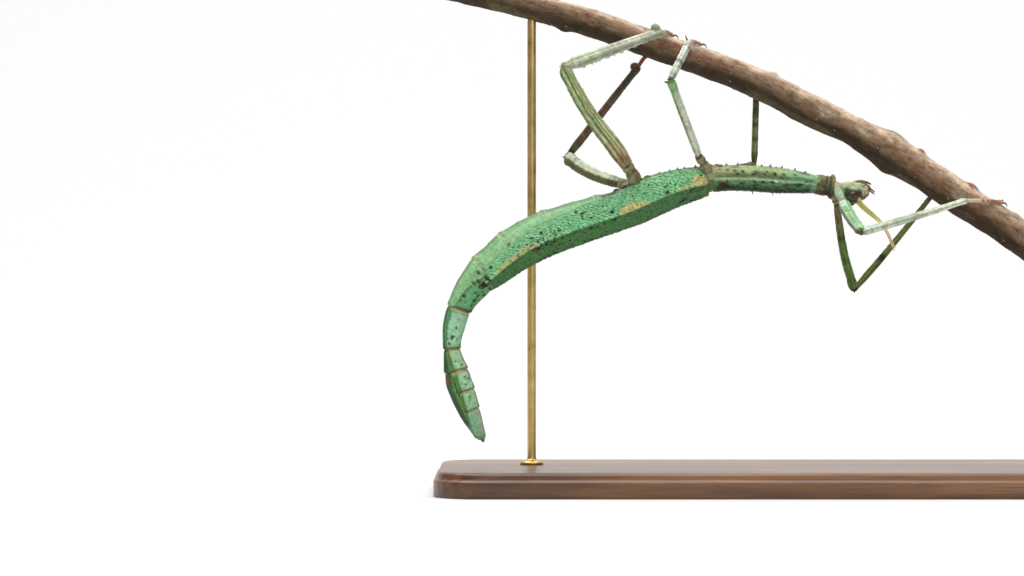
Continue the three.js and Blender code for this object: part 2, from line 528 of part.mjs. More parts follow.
// ---------------------------------------------------------------- the legs
for (const [name, leg] of Object.entries(LEGS)) {
  const [pair, hand] = name.split("_");
  const size = LIMB[pair];
  const stout = STOUTNESS[hand];
  const group = new THREE.Group();
  insect.add(group);
  const [root, hip, knee, ankle] = leg.joints.map(vec);
  const thigh = knee.clone().sub(hip).normalize();
  const shin = ankle.clone().sub(knee).normalize();
  const bend = shin.clone().addScaledVector(thigh, -shin.dot(thigh)).normalize(); // the plane the knee folds in
  const material = name === "foreleg_right" ? MATERIAL.olive : name === "hindleg_right" ? MATERIAL.brown : MATERIAL.pale;

  const coxaCurve = new THREE.LineCurve3(root, hip);
  const coxaRadius = (t) => {
    const r = size.coxa * (1.1 - 0.3 * t);
    return [r, r * 0.9];
  };
  const coxa = (grow) => solid(limb(coxaCurve, 8, 3, coxaRadius, bend, grow));

  const femurCurve = new THREE.CatmullRomCurve3([
    hip,
    hip.clone().lerp(knee, 0.14).addScaledVector(bend, size.hook),
    hip.clone().lerp(knee, 0.58).addScaledVector(bend, -size.bow),
    knee,
  ]);
  const femurRadius = (t) => {
    const w = stout * THREE.MathUtils.lerp(size.femur[0], size.femur[1], t) * (0.8 + 0.2 * THREE.MathUtils.smoothstep(t, 0, 0.2)) * (1 - 0.12 * THREE.MathUtils.smoothstep(t, 0.94, 1));
    return [w, w * size.flat];
  };
  const femur = (grow) => solid(limb(femurCurve, 8, 5, femurRadius, bend, grow));

  const outer = knee.clone().sub(hip).addScaledVector(shin, -shin.dot(knee.clone().sub(hip))).normalize(); // the shin's outer edge
  const tibiaCurve = new THREE.QuadraticBezierCurve3(knee, knee.clone().lerp(ankle, 0.5).addScaledVector(outer, size.arch * 2), ankle);
  const tibiaRadius = (t) => {
    const w = stout * THREE.MathUtils.lerp(size.tibia[0], size.tibia[1], t) * (0.66 + 0.34 * THREE.MathUtils.smoothstep(t, 0, 0.16)) * (1 + 0.15 * THREE.MathUtils.smoothstep(t, 0.9, 1));
    return [w, w * THREE.MathUtils.lerp(size.flat, 0.85, t)];
  };
  const knobAt = ankle.clone().addScaledVector(shin, -0.75).addScaledVector(outer, 0.75);
  const tibia = (grow) => {
    const shaft = solid(limb(tibiaCurve, 8, 5, tibiaRadius, bend, grow));
    if (!size.knob) return shaft;
    const knob = bare(new THREE.SphereGeometry(size.knob + grow, 7, 5));
    knob.translate(knobAt.x, knobAt.y, knobAt.z);
    return joined(shaft, solid(facingOut(knob)));
  };

  const [instep, toe] = leg.foot.map((p, k) => onBark(vec(p), size.tarsus + GAP + (k ? 0.02 : 0.25)));
  const footCurve = new THREE.CatmullRomCurve3([ankle, instep, toe]);
  const footRadius = (t) => {
    const r = size.tarsus * (1 - 0.15 * t) * (1 + 0.08 * Math.cos(t * 4 * 2 * Math.PI));
    return [r, r];
  };
  const foot = (grow) => solid(limb(footCurve, 6, 4, footRadius, bend, grow));

  const last = footCurve.getTangentAt(1);
  const away = toe.clone().sub(nearest(toe).p).normalize();
  const across = last.clone().cross(away).normalize();
  const pad = bare(new THREE.SphereGeometry(0.46, 6, 4));
  const padAt = onBark(toe.clone().addScaledVector(last, 0.45), 0.5);
  pad.translate(padAt.x, padAt.y, padAt.z);
  const hook = (side) => cone(padAt.clone().addScaledVector(across, side * 0.2), last.clone().addScaledVector(across, side * 0.75).addScaledVector(away, -0.35), 1.0, 0.27, 4);
  const claws = joined(solid(facingOut(pad)), hook(1), hook(-1));

  place(group, `${name}_coxa`, without(coxa(0), trunkRoom, headRoom, ...wings), MATERIAL.brown);
  place(group, `${name}_femur`, without(femur(0), coxa(GAP), trunkRoom, headRoom, ...wings), material);
  place(group, `${name}_tibia`, without(tibia(0), femur(GAP), perchRoom), material);
  place(group, `${name}_tarsus`, without(foot(0), tibia(GAP), perchRoom), MATERIAL.brown);
  place(group, `${name}_claws`, without(claws, foot(GAP), perchRoom), MATERIAL.red);
}

// The nearest point of the branch's axis, with the radius there.
function nearest(point) {
  let best = null;
  for (let k = 0; k <= 400; k++) {
    const p = perchCurve.getPoint(k / 400);
    const far = p.distanceTo(point);
    if (!best || far < best.far) best = { p, far };
  }
  return { ...best, r: between(perchRadii, best.p.x)[0] };
}

// The same point moved straight in or out, to stand this far off the bark.
function onBark(point, clear) {
  const { p, far, r } = nearest(point);
  return point.clone().sub(p).multiplyScalar((r + clear) / far).add(p);
}

export default model;
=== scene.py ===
import math
import bpy
import numpy as np
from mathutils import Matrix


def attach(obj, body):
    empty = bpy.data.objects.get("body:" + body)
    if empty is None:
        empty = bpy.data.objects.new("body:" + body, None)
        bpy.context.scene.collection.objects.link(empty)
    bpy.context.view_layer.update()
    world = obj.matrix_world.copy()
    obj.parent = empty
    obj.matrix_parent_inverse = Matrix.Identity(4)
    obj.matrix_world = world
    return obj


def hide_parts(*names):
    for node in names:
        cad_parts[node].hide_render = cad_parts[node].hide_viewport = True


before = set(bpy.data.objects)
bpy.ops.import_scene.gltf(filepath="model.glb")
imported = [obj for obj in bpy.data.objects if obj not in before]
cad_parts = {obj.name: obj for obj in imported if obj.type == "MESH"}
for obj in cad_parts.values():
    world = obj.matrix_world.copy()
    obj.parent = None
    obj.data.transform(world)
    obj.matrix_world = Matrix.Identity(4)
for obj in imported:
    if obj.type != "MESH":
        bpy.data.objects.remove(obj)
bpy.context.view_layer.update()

# ================================================================ numbers shared with the CAD, in millimetres
BODY_PLANE_Y = -4.0
ROLL_FRONT, ROLL_TIP = 28.0, 8.0
BASE = dict(length=130.0, depth=54.0, height=5.0, corner=9.0, bevel=0.7)
ROD = dict(radius=0.9, foot=2.4, foot_height=0.9, left=(-45.6, 5.4), right=(56.0, -5.2))
PERCH = [
    (-64.2, 5.4, 102.1, 2.6), (-50.0, 5.4, 98.95, 2.66), (-34.6, 5.4, 94.85, 2.85), (-17.2, 5.2, 88.75, 2.85),
    (-3.4, 4.6, 83.75, 3.02), (4.5, 4.0, 80.1, 3.15), (12.0, 3.0, 76.1, 3.25), (18.6, 2.0, 72.8, 3.0),
    (26.4, 0.2, 68.05, 3.72), (33.2, -1.2, 63.7, 3.38), (41.7, -3.0, 57.7, 3.4), (49.0, -4.2, 53.0, 3.35),
    (60.4, -5.9, 44.3, 3.4)]
BODY_AXIS = [
    (15.6, 60.9), (8.0, 61.88), (-4.4, 62.8), (-12.6, 62.3), (-20.0, 60.64), (-28.4, 57.4), (-37.2, 54.8), (-45.2, 52.0),
    (-52.0, 47.6), (-57.2, 42.2), (-60.3, 36.6), (-61.5, 29.4), (-60.0, 21.8), (-58.0, 16.2), (-55.7, 10.3)]
RINGS = dict(prothorax=0.75, mesothorax=4.65, metathorax=25.3, abdomen_1=41, abdomen_2=49.2, abdomen_3=60.2, abdomen_4=68.7,
             abdomen_5=75.3, abdomen_6=84.6, abdomen_7=92.7, abdomen_8=97.2, abdomen_9=101.6, abdomen_10=105.6, end=112.0)
TRUNK = [
    (.7, 1.7, 1.9, 1.9), (1.3, 2.05, 2.3, 2.3), (2.1, 1.8, 1.95, 1.95), (4.6, 1.75, 1.85, 1.85), (7.7, 2, 2.15, 2.15),
    (12.5, 2.25, 2.6, 2.6), (20, 2.25, 2.6, 2.6), (25.3, 2.3, 2.62, 2.62), (31.8, 2.35, 3, 2.9), (36, 2.4, 3.2, 3.1),
    (40, 2.4, 3.25, 3.2), (44.5, 2.35, 3.05, 3.05), (49, 2.4, 3.3, 3.15), (59, 2.45, 3.5, 3.4), (67, 2.45, 3.6, 3.5),
    (73, 2.4, 3.4, 3.3), (78, 2.45, 3.1, 3.85), (81.3, 2.3, 2.7, 3.25), (84.6, 2, 2.35, 2.5), (88.4, 1.85, 2.25, 2.15),
    (92.6, 1.6, 1.9, 1.55), (97.1, 1.9, 2.5, 2.3), (101.6, 1.75, .3, 2.5), (105.6, 1.35, .5, 2), (109, .95, .35, 1.5),
    (112, .4, .2, .6)]
OPERCULUM = [(97.5, 1.6, .1, 2.5), (99.5, 1.6, .65, 2.85), (102, 1.35, .85, 2.65), (106, 1.0, .95, 2.25), (109.5, .6, .75, 1.4),
             (111.2, .3, .5, .95)]
WING_BOX = [
    (26, 2.6, 2.3), (28.3, 2.85, 2.65), (31.8, 3.05, 3.25), (39, 3.25, 4.0), (46, 3.25, 4.05), (53, 3.25, 4.4),
    (61.5, 3.25, 4.85), (69, 3.15, 4.55), (74, 2.95, 4.15), (78.8, 2.7, 3.85)]
WING_CROWN = 0.35
TEGMEN_EDGE = [(26, .6), (28.1, -1.2), (31.8, -1.8), (38, -1.75), (41.6, -1.6), (43.4, -.3), (44.6, 1.7), (45.4, 3.2)]
HINDWING_EDGE = [(40, -.8), (50, -.85), (56, 0), (60.5, .4), (67.2, 1.5), (73, 1.4), (76, 2), (78.6, 3)]
TEGMEN_INNER = [(26, .15), (30.5, .15), (33, 1.9), (45.4, 2.5)]
HEAD_LENGTH = 6.3
HEAD_SECTION = [
    (-.05, .95, .8, 1), (.6, 1.35, 1, 1.6), (1.8, 1.85, 1.1, 2.6), (3, 2, 1.15, 3), (4.2, 1.85, 1.2, 2.65),
    (5.4, 1.45, 1.05, 1.75), (6.3, .8, .5, .8)]
EYE = dict(along=3.0, out=1.38, up=2.2, radius=.86, depth=.68)
ANTENNA = dict(radius=.36, tip=.25)
LEGS = {
    "foreleg_left": ([(14.9, -4.9, 61.4), (16.3, -8, 57.8), (18.05, -25.6, 51.6), (40.73, -7.4, 58.2)], [(44.75, -6.8, 58.1), (47.9, -5.3, 58.15)]),
    "foreleg_right": ([(14.5, -3, 60.6), (15.6, -.8, 58), (19.9, 6, 40.4), (37.1, 2.2, 62)], [(39.3, 1.5, 60.95), (42.2, .5, 59.3)]),
    "midleg_left": ([(-9.4, -5.4, 62.8), (-12.38, -7.2, 66.9), (-18.3, -12.2, 82), (-14, 1.6, 90.12)], [(-13.1, 3.4, 90.8), (-11.8, 5, 89.9)]),
    "midleg_right": ([(-9.5, -3.2, 62.6), (-10.5, .4, 64.1), (.1, 13.4, 65.85), (.2, 8.6, 81.37)], [(1.2, 8, 81.6), (3.3, 7.3, 82.1)]),
    "hindleg_left": ([(-23.9, -5.4, 60.8), (-26.8, -7.6, 65.3), (-39.5, -13, 84.4), (-19.54, 1.6, 92.5)], [(-18.5, 3.7, 92.9), (-17.4, 5.6, 91.8)]),
    "hindleg_right": ([(-25.4, -3, 59.6), (-27.4, 0, 61.8), (-38.21, 19, 67.9), (-23.9, 8.4, 85.9)], [(-22.7, 8, 87.3), (-21.4, 7.3, 88.5)]),
}
LIMB = {
    "foreleg": dict(coxa=.85, femur=(.72, 1.0), tibia=(.82, .5), flat=.78, tarsus=.36, hook=-.2, bow=.55, arch=.3, knob=0),
    "midleg": dict(coxa=1.1, femur=(.72, 1.0), tibia=(.82, .74), flat=.78, tarsus=.36, hook=.1, bow=.1, arch=0, knob=0),
    "hindleg": dict(coxa=1.4, femur=(1.25, 1.42), tibia=(1.16, .86), flat=.76, tarsus=.38, hook=.35, bow=.85, arch=0, knob=.85),
}
STOUTNESS = dict(left=1.05, right=.92)
GAP = 0.3

# ================================================================ small maths
rad = math.radians


def clamp(x, lo=0.0, hi=1.0):
    return np.clip(x, lo, hi)


def step(x, lo, hi):
    t = clamp((np.asarray(x, float) - lo) / (hi - lo))
    return t * t * (3 - 2 * t)


def bump(x, middle, width):
    return np.exp(-(((np.asarray(x, float) - middle) / width) ** 2))


def lerp(a, b, t):
    return a + (b - a) * t


def unit(v):
    v = np.asarray(v, float)
    return v / np.maximum(np.linalg.norm(v, axis=-1, keepdims=True), 1e-12)


def stations(table, x):
    """The CAD's smooth curve through a few stations: one row of values for each column of the table."""
    T = np.array(table, float)
    x = np.asarray(x, float)
    last = len(T) - 1
    i = np.clip(np.searchsorted(T[:, 0], x, side="left") - 1, 0, last - 1)
    p, q = T[i], T[i + 1]
    before, after = T[np.maximum(i - 1, 0)], T[np.minimum(i + 2, last)]
    h = q[..., 0] - p[..., 0]
    t = clamp((x - p[..., 0]) / h)
    out = []
    for k in range(1, T.shape[1]):
        v, w = p[..., k], q[..., k]
        sp = (w - before[..., k]) / (q[..., 0] - before[..., 0]) * h
        sq = (after[..., k] - v) / (after[..., 0] - p[..., 0]) * h
        t2, t3 = t * t, t * t * t
        out.append((2 * t3 - 3 * t2 + 1) * v + (t3 - 2 * t2 + t) * sp + (3 * t2 - 2 * t3) * w + (t3 - t2) * sq)
    return out


class Path:
    """A curve read by its share of length."""

    def __init__(self, dense):
        self.p = np.asarray(dense, float)
        d = np.linalg.norm(np.diff(self.p, axis=0), axis=1)
        self.l = np.concatenate([[0], np.cumsum(d)])
        self.length = self.l[-1]
        self.tan = unit(np.gradient(self.p, axis=0))

    def at(self, t):
        t = np.asarray(t, float)
        x = clamp(t) * self.length
        p = np.stack([np.interp(x, self.l, self.p[:, k]) for k in range(3)], -1)
        return p + self.along(t) * ((t - clamp(t)) * self.length)[..., None]

    def along(self, t):
        x = clamp(np.asarray(t, float)) * self.length
        return unit(np.stack([np.interp(x, self.l, self.tan[:, k]) for k in range(3)], -1))


def spline(points, n=1500):
    """The CAD's centripetal Catmull-Rom curve."""
    P = np.array(points, float)
    E = np.vstack([2 * P[0] - P[1], P, 2 * P[-1] - P[-2]])
    seg = len(P) - 1
    t = np.linspace(0, seg, n + 1)
    i = np.minimum(np.floor(t).astype(int), seg - 1)
    w = (t - i)[:, None]
    p0, p1, p2, p3 = E[i], E[i + 1], E[i + 2], E[i + 3]
    root = lambda a, b: (np.sum((a - b) ** 2, axis=1) ** 0.25)[:, None]
    d0, d1, d2 = root(p0, p1), root(p1, p2), root(p2, p3)
    d1 = np.where(d1 < 1e-4, 1.0, d1)
    d0 = np.where(d0 < 1e-4, d1, d0)
    d2 = np.where(d2 < 1e-4, d1, d2)
    t1 = ((p1 - p0) / d0 - (p2 - p0) / (d0 + d1) + (p2 - p1) / d1) * d1
    t2 = ((p2 - p1) / d1 - (p3 - p1) / (d1 + d2) + (p3 - p2) / d2) * d1
    return Path(p1 + t1 * w + (-3 * p1 + 3 * p2 - 2 * t1 - t2) * w ** 2 + (2 * p1 - 2 * p2 + t1 + t2) * w ** 3)


def _hash(ix, iy, iz, seed):
    n = (ix.astype(np.int64) * 73856093) ^ (iy.astype(np.int64) * 19349663) ^ (iz.astype(np.int64) * 83492791) ^ np.int64(seed * 40503 + 977)
    n = (n ^ (n >> 13)) & 0x7FFFFFFF
    n = (n * (n * n * 15731 + 789221) + 1376312589) & 0x7FFFFFFF
    n = (n ^ (n >> 11)) & 0x7FFFFFFF
    return n / float(0x7FFFFFFF)


def noise(P, size, seed=0, octaves=1):
    """Smooth value noise from -1 to 1. size is its feature size in millimetres, one number or three."""
    P = np.asarray(P, float) / np.asarray(size, float)
    total, weight, gain = 0.0, 0.0, 1.0
    for o in range(octaves):
        q = P * (2.03 ** o) + 17.3 * (seed + 3 * o + 1)
        base = np.floor(q)
        f = q - base
        f = f * f * (3 - 2 * f)
        b = base.astype(np.int64)
        acc = 0.0
        for dx in (0, 1):
            for dy in (0, 1):
                for dz in (0, 1):
                    w = (f[..., 0] if dx else 1 - f[..., 0]) * (f[..., 1] if dy else 1 - f[..., 1]) * (f[..., 2] if dz else 1 - f[..., 2])
                    acc = acc + w * _hash(b[..., 0] + dx, b[..., 1] + dy, b[..., 2] + dz, seed + o)
        total = total + gain * (acc * 2 - 1)
        weight += gain
        gain *= 0.5
    return total / weight


def cells(u, v, seed=0, jitter=0.8):
    """Distances to the nearest and second nearest cell centre, and the nearest cell's own number."""
    iu, iv = np.floor(u), np.floor(v)
    f1, f2, own = np.full(u.shape, 9.0), np.full(u.shape, 9.0), np.zeros(u.shape)
    zero = np.zeros(u.shape, np.int64)
    for a in (-1, 0, 1):
        for b in (-1, 0, 1):
            cu, cv = (iu + a).astype(np.int64), (iv + b).astype(np.int64)
            pu = cu + 0.5 + jitter * (_hash(cu, cv, zero, seed) - 0.5)
            pv = cv + 0.5 + jitter * (_hash(cu, cv, zero + 5, seed) - 0.5)
            d = np.hypot(u - pu, v - pv)
            near = d < f1
            f2 = np.where(near, f1, np.minimum(f2, d))
            own = np.where(near, _hash(cu, cv, zero + 9, seed), own)
            f1 = np.where(near, d, f1)
    return f1, f2, own


def rgb(r, g, b):
    c = np.array([r, g, b], float) / 255
    return np.where(c <= 0.04045, c / 12.92, ((c + 0.055) / 1.055) ** 2.4)


def blend(colour, other, weight):
    w = clamp(np.asarray(weight, float))[..., None]
    return colour * (1 - w) + np.asarray(other) * w


# ================================================================ the body's own frame
_axis = spline([(x, BODY_PLANE_Y, z) for x, z in BODY_AXIS], 3000)
AXIS_LENGTH = _axis.length


def body_frame(s):
    s = np.asarray(s, float)
    t = s / AXIS_LENGTH
    at, back = _axis.at(t), _axis.along(t)
    up = np.stack([back[..., 2], np.zeros_like(s), -back[..., 0]], -1)
    roll = np.radians(lerp(ROLL_FRONT, ROLL_TIP, step(s, 58, 108)))[..., None]
    y = np.array([0.0, 1.0, 0.0])
    dorsal = -up * np.cos(roll) - y * np.sin(roll)
    left = up * np.sin(roll) - y * np.cos(roll)
    return at, back, dorsal, left


def body_point(s, l, d):
    at, _, dorsal, left = body_frame(s)
    return at + left * np.asarray(l)[..., None] + dorsal * np.asarray(d)[..., None]


def oval(angle, a, belly, back, square=0.9):
    c, s = np.cos(angle), np.sin(angle)
    return np.sign(c) * np.abs(c) ** square * a, np.sign(s) * np.abs(s) ** square * np.where(s > 0, back, belly)


NECK_AT, NECK_BACK, NECK_DORSAL, NECK_LEFT = (v for v in body_frame(0.0))
HEAD_F = unit(-NECK_BACK)
HEAD_D = unit(NECK_DORSAL - HEAD_F * np.dot(NECK_DORSAL, HEAD_F))
HEAD_L = unit(NECK_LEFT - HEAD_F * np.dot(NECK_LEFT, HEAD_F))


def head_point(x, l, d):
    x, l, d = np.broadcast_arrays(np.asarray(x, float), np.asarray(l, float), np.asarray(d, float))
    return NECK_AT + HEAD_F * x[..., None] + HEAD_L * l[..., None] + HEAD_D * d[..., None]


def wing_ld(kind, side, s, p, lap=0.0):
    """Outer surface of a folded wing. p goes from 0 at the side panel's lower edge, over the ridge at 0.5, to 1 at the inner edge."""
    edge = TEGMEN_EDGE if kind == "tegmen" else HINDWING_EDGE
    w, ridge = stations(WING_BOX, s)
    low = np.minimum(stations(edge, s)[0], ridge - 0.35)
    start = np.minimum(stations(TEGMEN_INNER, s)[0], w - 0.7) if kind == "tegmen" else np.full_like(s, 0.15 - lap)
    corner = 0.16
    q = clamp(p / 0.5)
    l1 = w + 0.06 * np.sin(np.pi * q) - 0.06 * (1 - q) ** 4
    d1 = lerp(low, ridge - corner, q)
    r = clamp((p - 0.5) / 0.5)
    l2 = lerp(w - corner, start, r)
    d2 = ridge + WING_CROWN * (1 - (l2 / w) ** 2)
    # the ridge: a small rounded fold between the panels
    k = step(p, 0.485, 0.515)
    l = np.where(p < 0.485, l1, np.where(p > 0.515, l2, lerp(l1, l2, k) + 0.03 * np.sin(np.pi * k)))
    d = np.where(p < 0.485, d1, np.where(p > 0.515, d2, lerp(d1, d2, k) + 0.05 * np.sin(np.pi * k)))
    return side * l, d
# ---- end of the shared geometry


# The skin closes up between the hind end's rings and the blade under them.
SKIN_TRUNK = [row for row in TRUNK if row[0] < 98] + [
    (99.2, 1.85, 1.7, 2.45), (101.6, 1.75, 1.45, 2.5), (105.6, 1.4, 1.2, 2.05), (109, 1.1, 1.0, 1.6), (111.0, .95, .85, 1.3), (111.8, .7, .5, 1.0)]
SKIN_BLADE = [(97.3, 1.6, -.4, 2.45), (99.5, 1.62, .0, 2.85), (102, 1.42, .1, 2.7), (106, 1.12, .1, 2.3), (109.5, .8, .1, 1.45), (111.3, .4, .1, 1.0)]


# ================================================================ meshes
class Shape:
    """Closed pieces gathered into one mesh, in millimetres, with a colour and a roughness at each vertex."""

    def __init__(self):
        self.v, self.c, self.r, self.q, self.t, self.n = [], [], [], [], [], 0

    def add(self, P, quads, tris, C, R=0.5):
        P = np.asarray(P, float)
        quads = np.asarray(quads, np.int64).reshape(-1, 4)
        tris = np.asarray(tris, np.int64).reshape(-1, 3)
        every = np.vstack([quads[:, [0, 1, 2]], quads[:, [0, 2, 3]], tris])
        mid = P.mean(axis=0)
        a, b, c = P[every[:, 0]] - mid, P[every[:, 1]] - mid, P[every[:, 2]] - mid
        if np.einsum("ij,ij->", a, np.cross(b, c)) < 0:
            quads, tris = quads[:, ::-1], tris[:, ::-1]
        self.v.append(P)
        self.c.append(np.broadcast_to(C, (len(P), 3)).copy())
        self.r.append(np.broadcast_to(np.asarray(R, float), (len(P),)).copy())
        self.q.append(quads + self.n)
        self.t.append(tris + self.n)
        self.n += len(P)

    def rings(self, P, C, R=0.5):
        """P[ring, side]: a closed tube, its two ends covered by fans."""
        nj, ni = P.shape[:2]
        C = np.broadcast_to(C, (nj, ni, 3))
        R = np.broadcast_to(np.asarray(R, float), (nj, ni))
        idx = np.arange(nj * ni).reshape(nj, ni)
        a, b = idx[:-1], idx[1:]
        quads = np.stack([a, np.roll(a, -1, 1), np.roll(b, -1, 1), b], -1).reshape(-1, 4)
        first, last = nj * ni, nj * ni + 1
        t0 = np.stack([np.roll(idx[0], -1), idx[0], np.full(ni, first)], -1)
        t1 = np.stack([idx[-1], np.roll(idx[-1], -1), np.full(ni, last)], -1)
        V = np.vstack([P.reshape(-1, 3), P[0].mean(axis=0), P[-1].mean(axis=0)])
        Cv = np.vstack([C.reshape(-1, 3), C[0].mean(axis=0), C[-1].mean(axis=0)])
        Rv = np.concatenate([R.reshape(-1), [R[0].mean(), R[-1].mean()]])
        self.add(V, quads, np.vstack([t0, t1]), Cv, Rv)

    def triangles(self):
        return 2 * sum(len(q) for q in self.q) + sum(len(t) for t in self.t)

    def build(self, name, material, slot, replaces=(), smooth=True):
        V = np.vstack(self.v) * 0.001
        Q, T = np.vstack(self.q), np.vstack(self.t)
        me = bpy.data.meshes.new(name)
        me.vertices.add(len(V))
        me.vertices.foreach_set("co", V.astype(np.float32).ravel())
        me.loops.add(Q.size + T.size)
        me.loops.foreach_set("vertex_index", np.concatenate([Q.ravel(), T.ravel()]).astype(np.int32))
        me.polygons.add(len(Q) + len(T))
        starts = np.concatenate([np.arange(len(Q)) * 4, Q.size + np.arange(len(T)) * 3]).astype(np.int32)
        me.polygons.foreach_set("loop_start", starts)
        me.update(calc_edges=True)
        me.validate()
        me.polygons.foreach_set("use_smooth", np.full(len(me.polygons), smooth))
        col = me.color_attributes.new("Tint", "FLOAT_COLOR", "POINT")
        rgba = np.concatenate([clamp(np.vstack(self.c)), np.ones((len(V), 1))], axis=1)
        col.data.foreach_set("color", rgba.astype(np.float32).ravel())
        rough = me.attributes.new("Rough", "FLOAT", "POINT")
        rough.data.foreach_set("value", np.concatenate(self.r).astype(np.float32))
        me.materials.append(material)
        ob = bpy.data.objects.new(name, me)
        bpy.context.scene.collection.objects.link(ob)
        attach(ob, "root")
        if replaces:
            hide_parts(*replaces)
        return ob


def spine(shape, base, direction, height, radius, colour, tip=None, lean=None, sides=7, R=0.4):
    """A short thorn: a cone whose foot flares into the cuticle and whose tip leans a little."""
    direction = unit(direction)
    lean = np.zeros(3) if lean is None else np.asarray(lean, float)
    helper = np.array([0.0, 0, 1]) if abs(direction[2]) < 0.8 else np.array([1.0, 0, 0])
    x = unit(np.cross(helper, direction))
    y = np.cross(direction, x)
    t = np.array([-0.35, 0.0, 0.12, 0.35, 0.65, 0.9, 1.0])
    r = np.array([1.25, 1.25, 0.85, 0.58, 0.33, 0.14, 0.04]) * radius
    a = np.arange(sides) / sides * 2 * np.pi
    P = (base + direction * (t * height)[:, None, None] + lean * (clamp(t) ** 2 * height)[:, None, None]
         + x * (r[:, None] * np.cos(a))[..., None] + y * (r[:, None] * np.sin(a))[..., None])
    tip = colour if tip is None else tip
    C = lerp(np.asarray(colour)[None, None], np.asarray(tip)[None, None], step(t, 0.1, 0.7)[:, None, None]) * np.ones((1, sides, 1))
    shape.rings(P, C, R)


def blob(shape, centre, radii, frame_axes, colour, R=0.5, rings=9, sides=14, rough=0.0, seed=0):
    """A rounded, slightly uneven lump: radii along the three given directions, the first of them its own long axis."""
    a = np.linspace(0.06, np.pi - 0.06, rings)
    b = np.arange(sides) / sides * 2 * np.pi
    A, B = np.meshgrid(a, b, indexing="ij")
    d = np.stack([np.cos(A), np.sin(A) * np.cos(B), np.sin(A) * np.sin(B)], -1)
    k = 1 + rough * noise(d, 0.45, seed, 2)[..., None]
    P = centre + sum(np.asarray(frame_axes[i]) * (d[..., i:i + 1] * radii[i] * k) for i in range(3))
    shape.rings(P, colour if np.ndim(colour) == 1 else colour, R)


# ================================================================ colours
GREEN_DARK = rgb(70, 128, 84)
GREEN_BACK = rgb(88, 158, 104)
GREEN_SIDE = rgb(160, 214, 168)
TEAL = rgb(112, 204, 158)
TEAL_DEEP = rgb(58, 138, 104)
TEAL_LIGHT = rgb(176, 240, 204)
MINT = rgb(178, 228, 200)
MINT_PALE = rgb(214, 236, 218)
CREAM = rgb(226, 206, 136)
CREAM_PALE = rgb(236, 226, 188)
YELLOW_OLIVE = rgb(186, 196, 112)
OLIVE = rgb(132, 126, 70)
OLIVE_DARK = rgb(88, 86, 48)
BROWN = rgb(104, 74, 46)
BROWN_DARK = rgb(52, 38, 28)
RUST = rgb(158, 92, 56)
PINK = rgb(196, 170, 160)
GREY_PINK = rgb(150, 128, 128)
SPOT = rgb(26, 26, 16)
SPOT_OLIVE = rgb(66, 64, 30)

SPOT_KINDS = dict(dark=SPOT, olive=SPOT_OLIVE, brown=rgb(50, 40, 26), deep=rgb(40, 84, 52), cream=CREAM, pale=MINT_PALE, rust=rgb(92, 64, 40), teal=rgb(34, 92, 66))
# Marks on the body's plates: distance along the axis, angle up from the side towards the back, half length, half width, kind.
MARKS = [
    (23.8, -16, .26, .22, "dark"), (22.3, -12, .26, .22, "dark"), (20.8, -8, .3, .24, "dark"), (19.3, -4, .3, .24, "dark"),
    (16.8, -4, .3, .24, "dark"), (14.5, -8, .26, .22, "dark"), (12.9, -2, .32, .26, "dark"), (11.2, -4, .3, .26, "dark"),
    (20.3, 6, .3, .22, "brown"), (17.3, 4, .3, .22, "brown"), (15.0, 2, .26, .2, "brown"), (22.5, 36, .26, .2, "dark"),
    (19.5, 50, .36, .26, "dark"), (20.4, 66, .3, .24, "dark"), (16.9, 38, .3, .22, "dark"), (15.2, 38, .3, .22, "dark"),
    (13.3, 36, .46, .26, "dark"), (12.6, 31, .2, .16, "pale"), (7.8, 36, .62, .22, "dark"), (15.4, 66, .34, .3, "teal"),
    (13.9, 70, .34, .3, "teal"), (10.0, 66, .34, .28, "dark"), (11.8, 80, .6, .42, "brown"), (23.0, 66, 1.0, .62, "brown"),
    (9.0, -10, .24, .2, "brown"), (6.6, 20, .3, .24, "rust"), (18.2, 84, .3, .24, "deep"), (21.6, 96, .3, .26, "deep"),
    # hind end: the spotted fifth ring and those after it
    (78.5, 40, .32, .28, "dark"), (80.0, 40, .22, .18, "dark"), (80.3, 58, .44, .2, "dark"), (79.4, 80, .3, .3, "dark"),
    (81.7, 58, .48, .26, "dark"), (82.8, 62, .26, .22, "dark"), (81.8, 12, .24, .34, "dark"), (83.0, 8, .22, .18, "dark"),
    (82.8, 28, .2, .18, "dark"), (81.4, 100, .22, .2, "dark"), (84.0, 78, .26, .2, "dark"), (77.7, 26, .26, .5, "olive"),
    (78.6, 16, .22, .4, "olive"), (77.0, 52, .2, .5, "olive"), (80.9, 70, .16, .16, "dark"), (79.0, 62, .16, .16, "dark"),
    (77.4, 84, .3, .5, "brown"), (76.4, 8, .22, .3, "brown"),
    (88.4, 24, .3, .3, "olive"), (88.1, 50, .16, .14, "olive"), (90.5, 8, .46, .34, "olive"), (90.3, 20, .2, .2, "brown"),
    (90.7, 42, .22, .2, "olive"), (90.8, -14, .2, .2, "brown"), (91.7, -6, .22, .32, "olive"), (91.8, 70, .2, .24, "olive"),
    (86.6, 30, .16, .16, "deep"), (95.3, 14, .24, .22, "dark"), (95.1, 38, .18, .16, "olive"), (96.2, 46, .14, .5, "brown"),
    (98.8, 38, .24, .28, "brown"), (100.3, 30, .26, .2, "dark"), (100.0, 12, .14, .14, "dark"), (99.3, 60, .2, .5, "brown"),
    (103.0, 28, .3, .24, "teal"), (104.2, 20, .2, .16, "teal"),
    (68.2, 10, .3, .24, "brown"), (45.6, -40, 1.3, .6, "olive"), (47.2, -34, .6, .3, "brown"), (44.0, -52, .8, .3, "brown"),
]


